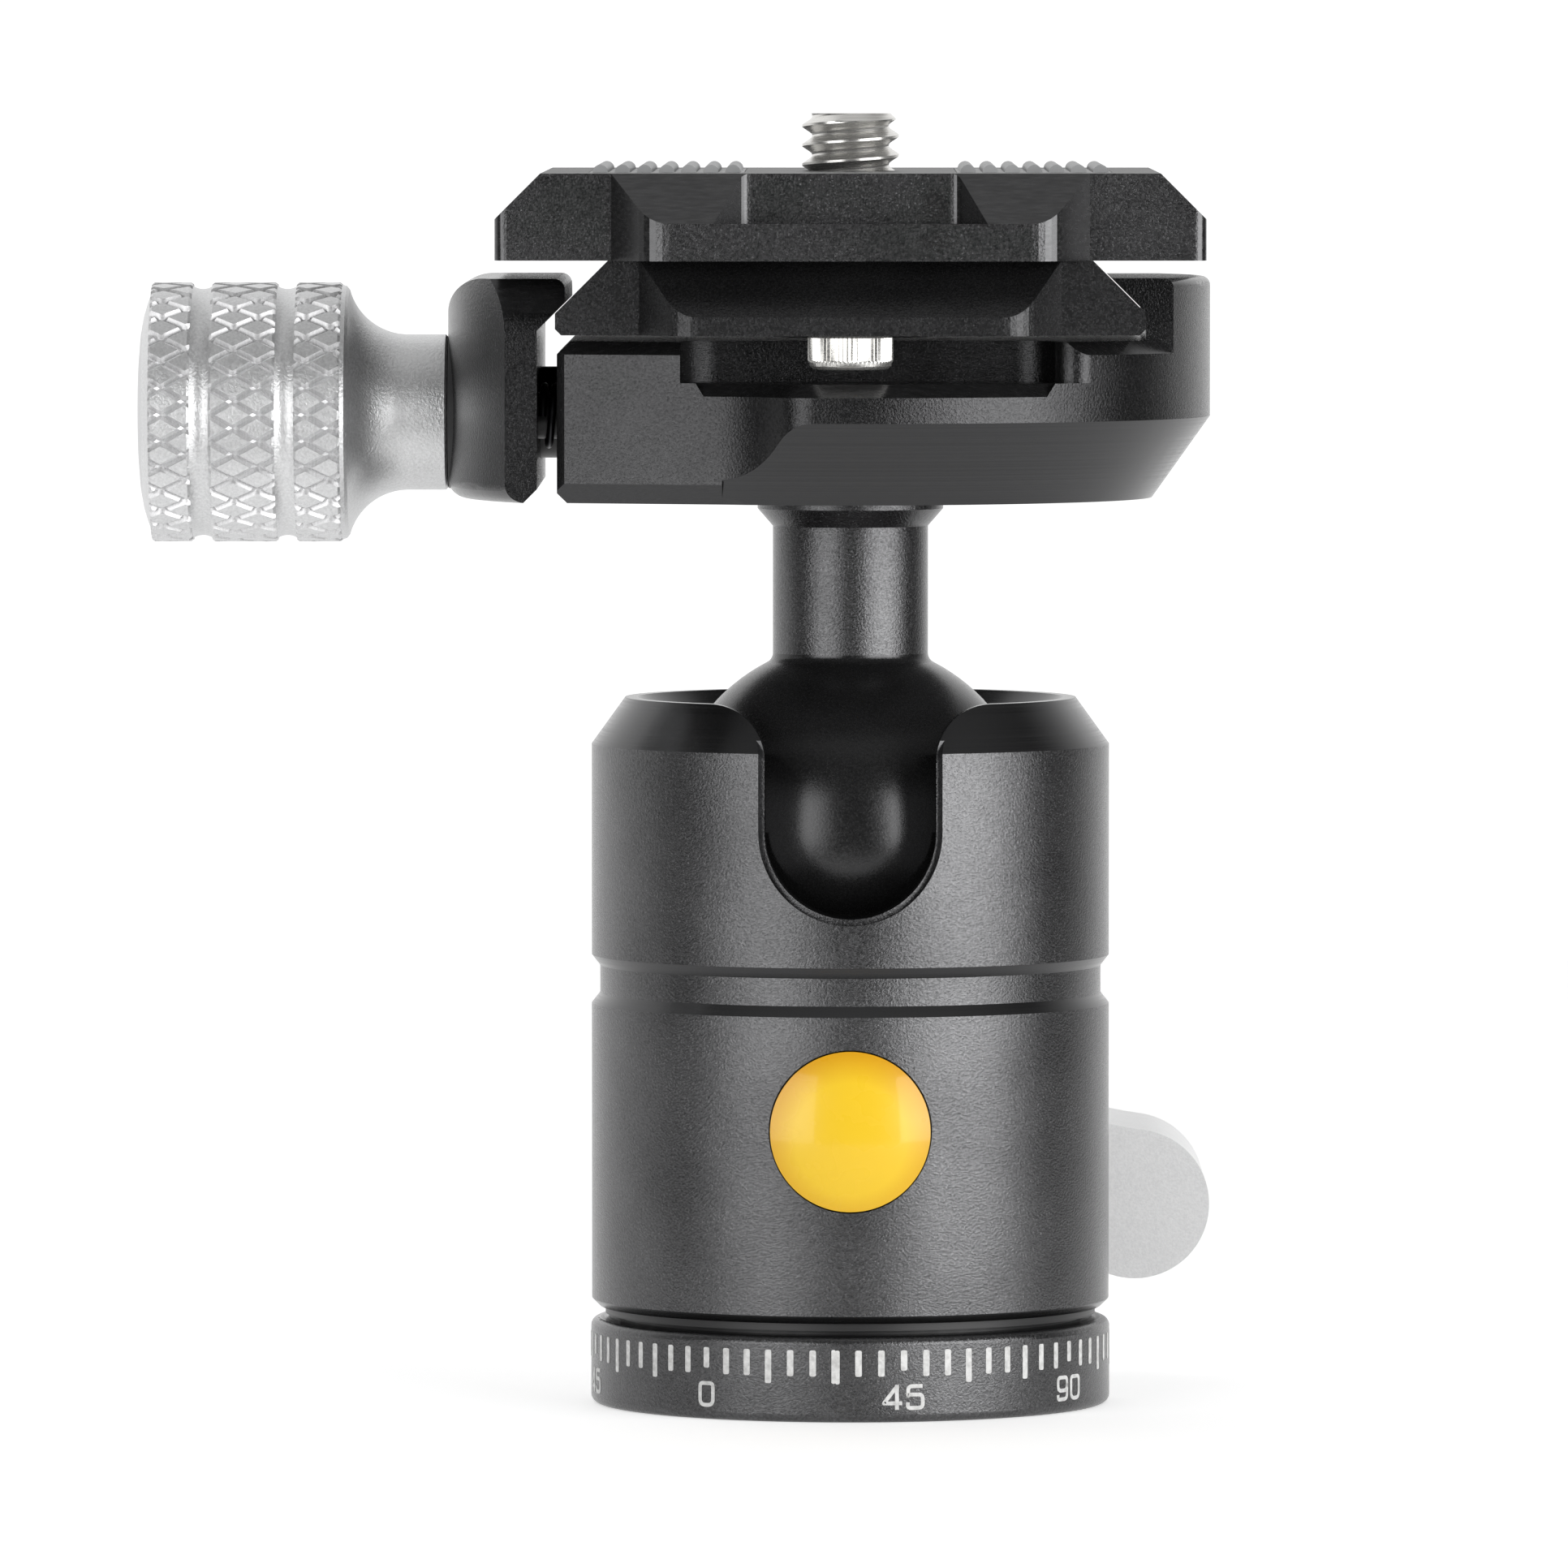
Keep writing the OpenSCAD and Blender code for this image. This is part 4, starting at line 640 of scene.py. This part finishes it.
def knurled_head(name, y):
    ridges, steps, ridge_height = 60, 240, 0.055
    z0, z1, z_end = 68.35, 70.55, 70.55 + 2.4
    # (height, radius, share of the ridges' height)
    rows = [(z0, 2.1, 0), (z0 + 0.08, 2.42, 0), (z0 + 0.24, 2.62, 0), (z0 + 0.42, 2.66, 0),
            (z0 + 0.5, 2.68, 0.5), (z0 + 0.62, 2.69, 1), (z1 - 0.14, 2.69, 1), (z1, 2.6, 0.4),
            (z1, 1.5, 0), (z_end, 1.5, 0)]
    verts = [(0, y, z0)]
    for i in range(steps):
        a = TAU * i / steps
        wave = ridge_height * (1 - abs(((i * ridges / steps) % 1) * 2 - 1) * 2)
        verts += [((r + wave * k) * math.cos(a), y + (r + wave * k) * math.sin(a), z)
                  for z, r, k in rows]
    verts.append((0, y, z_end))
    return piece(name, verts, skin(steps, len(rows)), "quick_plate", [steel], "bright_steel", 25)


stops = [knurled_head("stop_screw_front", -STOP_Y), knurled_head("stop_screw_back", STOP_Y)]
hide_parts("stop_screws")


# ---------------------- coil springs between the clamp and the sliding jaw

SPRING_Y = 9.5
SPRING_IN, SPRING_OUT = -14.55, -20.25      # the ends, along X
TURNS, DEAD_TURNS = 5.0, 0.75               # open turns, and closed turns at each end
WIRE_R, RING_R = 0.25, 1.9
CLOSED_LEAD = 2 * WIRE_R * 1.02             # a closed turn's length


def coil(name, y):
    steps, sides = 200, 12
    span = abs(SPRING_OUT - SPRING_IN) - 2 * WIRE_R - 2 * DEAD_TURNS * CLOSED_LEAD
    verts, faces = [], []
    for i in range(steps + 1):
        t = (TURNS + 2 * DEAD_TURNS) * i / steps
        first = min(t, DEAD_TURNS)
        live = max(0.0, min(t - DEAD_TURNS, TURNS))
        final = max(0.0, t - DEAD_TURNS - TURNS)
        x = SPRING_IN - WIRE_R - (first + final) * CLOSED_LEAD - span * live / TURNS
        lead = CLOSED_LEAD if live in (0.0, TURNS) else span / TURNS
        a = TAU * t
        centre = Vector((x, y + RING_R * math.cos(a), KNOB_Z + RING_R * math.sin(a)))
        out = Vector((0, math.cos(a), math.sin(a)))
        tangent = Vector((-lead / (TAU * RING_R), -math.sin(a), math.cos(a))).normalized()
        side = tangent.cross(out)
        for k in range(sides):
            b = TAU * k / sides
            verts.append(tuple(centre + WIRE_R * (math.cos(b) * out + math.sin(b) * side)))
    for i in range(steps):
        p, q = i * sides, (i + 1) * sides
        for k in range(sides):
            j = (k + 1) % sides
            faces.append((p + k, p + j, q + j, q + k))
    faces.append(tuple(range(sides)))
    faces.append(tuple(steps * sides + k for k in reversed(range(sides))))
    obj = piece(name, verts, faces, None, [spring_dark], "bright_steel", 50)
    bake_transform(obj)
    return obj


coils = [coil("spring_front", -SPRING_Y), coil("spring_back", SPRING_Y)]
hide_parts("jaw_springs")


# ------------- degree scale: a tick every 5 degrees, and 0, 45, 90, 45 twice

BASE_R = 17.05
ZERO = -33.2                            # degrees from the front to the first zero
LIFT, SINK = 0.02, 0.05                 # the paint's face over the disc, and its root under it
TICK_TOP, TICK_W = 4.72, 0.43
FIGURE_TICK, LONG_TICK, SHORT_TICK = 1.33, 2.18, 1.70     # over a figure, every 15, the rest
FIGURE_Z, FIGURE_STEP, STROKE_HALF = 1.67, 1.5, 0.125
W, H = 0.5, 0.71                        # half a figure's width and height


def on_disc(x, z, r, angle):
    """The place of a point at x along the disc's side and at height z."""
    a = math.radians(angle) + x / BASE_R
    return (r * math.sin(a), -r * math.cos(a), z)


def stroke(points, closed, angle):
    """A stroke of constant width along a flat centre line, laid on the disc's side."""
    n = len(points)
    verts, faces = [], []
    for i, point in enumerate(points):
        before = points[i - 1] if closed else points[max(i - 1, 0)]
        after = points[(i + 1) % n] if closed else points[min(i + 1, n - 1)]
        here, before, after = Vector(point), Vector(before), Vector(after)
        arriving = here - before if before != here else after - here
        leaving = after - here if after != here else arriving
        arriving, leaving = arriving.normalized(), leaving.normalized()
        mean = (arriving + leaving).normalized()
        across = Vector((-mean.y, mean.x))
        half = STROKE_HALF / max(0.35, across.dot(Vector((-leaving.y, leaving.x))))
        left, right = here + across * half, here - across * half
        verts += [on_disc(p.x, FIGURE_Z + p.y, BASE_R + rise, angle)
                  for p, rise in ((left, LIFT), (right, LIFT), (right, -SINK), (left, -SINK))]
    for i in range(n if closed else n - 1):
        p, q = 4 * i, 4 * ((i + 1) % n)
        faces += [(p + k, q + k, q + (k + 1) % 4, p + (k + 1) % 4) for k in range(4)]
    if not closed:
        faces += [(0, 1, 2, 3), (4 * n - 1, 4 * n - 2, 4 * n - 3, 4 * n - 4)]
    return verts, faces


def rounded(points, r, steps=6):
    """An open path with its inner corners rounded."""
    out = [points[0]]
    for i in range(1, len(points) - 1):
        a, b, c = (Vector(p) for p in points[i - 1:i + 2])
        da, dc = (a - b), (c - b)
        back = min(r, da.length * 0.499, dc.length * 0.499)
        s, e = b + da.normalized() * back, b + dc.normalized() * back
        for k in range(steps + 1):
            t = k / steps
            out.append(tuple((1 - t) ** 2 * s + 2 * t * (1 - t) * b + t * t * e))
    out.append(points[-1])
    return out


def tick(angle, length, width=TICK_W, top=TICK_TOP):
    """A short bar with rounded ends, hanging from its top."""
    half = width / 2
    r = min(0.12, half * 0.8)
    corner = half - r
    outline = (arc(corner, -length + r, r, 0, -90, 4) + arc(-corner, -length + r, r, -90, -180, 4)
               + arc(-corner, -r, r, 180, 90, 4) + arc(corner, -r, r, 90, 0, 4))
    verts = [on_disc(x, top + y, BASE_R + rise, angle)
             for rise in (LIFT, -SINK) for x, y in outline]
    n = len(outline)
    faces = [tuple(range(n)), tuple(range(2 * n - 1, n - 1, -1))]
    faces += [(i, (i + 1) % n, n + (i + 1) % n, n + i) for i in range(n)]
    return verts, faces


def figure(digit):
    """Centre lines of a figure, in millimetres about its middle, and whether each is closed."""
    if digit == "0":
        return [(rounded([(0, H), (W, H), (W, -H), (-W, -H), (-W, H), (0, H)], 0.40)[:-1], True)]
    if digit == "4":
        bent = [(0.28, H), (-0.56, -0.36), (-0.56, -0.39), (0.62, -0.39)]
        return [(rounded(bent, 0.02, 2), False), ([(0.28, H + 0.1), (0.28, -H - 0.1)], False)]
    if digit == "5":
        return [(rounded([(0.48, H), (-0.48, H), (-0.48, 0.08), (-0.40, 0.16), (W, 0.16),
                          (W, -H), (-W, -H), (-W, -0.34)], 0.3), False)]
    # a 9, the only other figure on the disc
    upper = rounded([(0, H), (W, H), (W, -0.14), (-W, -0.14), (-W, H), (0, H)], 0.34)[:-1]
    tail = rounded([(W, 0.3), (W, -H), (-W, -H), (-W, -0.40)], 0.34)
    return [(upper, True), (tail, False)]


def degree_scale():
    marks = []
    for degrees in range(0, 360, 5):
        angle = ZERO + degrees
        if degrees == 30:       # struck twice on the real disc, side by side
            marks += [tick(angle - 0.45, 2.2, 0.27, 4.76), tick(angle + 0.4, 2.2, 0.29)]
        elif degrees % 45 == 0:
            marks.append(tick(angle, FIGURE_TICK))
        else:
            marks.append(tick(angle, SHORT_TICK if degrees % 15 else LONG_TICK))
    for turn, text in enumerate(["0", "45", "90", "45"] * 2):
        for k, digit in enumerate(text):
            shift = (k - (len(text) - 1) / 2) * FIGURE_STEP
            angle = ZERO + 45 * turn + math.degrees(shift / BASE_R)
            marks += [stroke(path, closed, angle) for path, closed in figure(digit)]
    verts, faces = [], []
    for mark_verts, mark_faces in marks:
        faces += [tuple(len(verts) + i for i in f) for f in mark_faces]
        verts += mark_verts
    piece("degree_scale", verts, faces, "base", [white_paint], "bright_steel", 40)


degree_scale()


# ------------------------------------------- light, floor and camera, in metres

BOX_TARGET, BOX_HEIGHT = (0, 0, 0.045), 0.52
WHITE = (1, 1, 1, 1)
FLOOR_GLOW, FLOOR_GLOW_MIRRORED = 0.56, 0.52
CAMERA_PITCH, CAMERA_YAW = 2.718, 0.238     # degrees down, and to the left


def soft_box(name, at, width, watts):
    """An area light that stands beside the camera and faces the object."""
    light = bpy.data.lights.new(name, "AREA")
    light.shape = "RECTANGLE"
    light.size, light.size_y, light.energy = width, BOX_HEIGHT, watts
    obj = link(bpy.data.objects.new(name, light))
    obj.location = at
    aim = Vector(BOX_TARGET) - Vector(at)
    obj.rotation_euler = aim.to_track_quat("-Z", "Y").to_euler()


def surround():
    """A studio that is bright behind the object and overhead, and white to the camera."""
    world = bpy.data.worlds.new("studio")
    bpy.context.scene.world = world
    world.use_nodes = True
    t = world.node_tree
    t.nodes.clear()
    out = t.nodes.new("ShaderNodeOutputWorld")
    back = t.nodes.new("ShaderNodeBackground")
    t.links.new(back.outputs[0], out.inputs[0])
    along = split_xyz(t, t.nodes.new("ShaderNodeTexCoord").outputs["Generated"])
    behind = math2(t, "SUBTRACT", along["Y"], math2(t, "MULTIPLY", along["X"], 0.3))
    rear = ramp(t, behind, 0.15, 0.65, 0.06, 1.1)
    above = ramp(t, along["Z"], 0.6, 0.98, 0.0, 0.6)
    level = math2(t, "MAXIMUM", rear, above)
    camera_ray = t.nodes.new("ShaderNodeLightPath").outputs["Is Camera Ray"]
    t.links.new(math2(t, "MAXIMUM", level, camera_ray), back.inputs["Strength"])
    back.inputs["Color"].default_value = WHITE


def white_floor():
    """A floor that glows enough to be white to the camera, with a soft shadow left on it."""
    half_w, front, rear = 0.16, -0.125, 0.5
    mesh = bpy.data.meshes.new("floor")
    mesh.from_pydata([(-half_w, front, 0), (half_w, front, 0), (half_w, rear, 0),
                      (-half_w, rear, 0)], [], [(0, 1, 2, 3)])
    floor = link(bpy.data.objects.new("floor", mesh))
    m, t, s = principled("floor_white", (0.82, 0.82, 0.82), 0.9, 0.0, Specular_IOR_Level=0.1)
    rays = t.nodes.new("ShaderNodeLightPath").outputs
    seen = math2(t, "MULTIPLY", rays["Is Camera Ray"], FLOOR_GLOW)
    mirrored = math2(t, "MAXIMUM", rays["Is Glossy Ray"], rays["Is Transmission Ray"])
    glow = math2(t, "MAXIMUM", seen, math2(t, "MULTIPLY", mirrored, FLOOR_GLOW_MIRRORED))
    s.inputs["Emission Color"].default_value = WHITE
    t.links.new(glow, s.inputs["Emission Strength"])
    mesh.materials.append(m)


def camera():
    cam = bpy.data.cameras.new("camera")
    cam.sensor_width = 36
    cam.lens = 367.2
    cam.clip_start, cam.clip_end = 0.05, 20
    eye = link(bpy.data.objects.new("camera", cam))
    eye.location = (0, -1.050, 0.0905)
    eye.rotation_euler = (math.radians(90 - CAMERA_PITCH), 0, math.radians(CAMERA_YAW))
    bpy.context.scene.camera = eye
    bpy.context.scene.view_settings.view_transform = "Standard"


soft_box("soft_left", (-0.481, -0.639, 0.11), 0.58, 3.0)
soft_box("soft_right", (0.610, -0.517, 0.11), 0.78, 6.7)
surround()
white_floor()
camera()
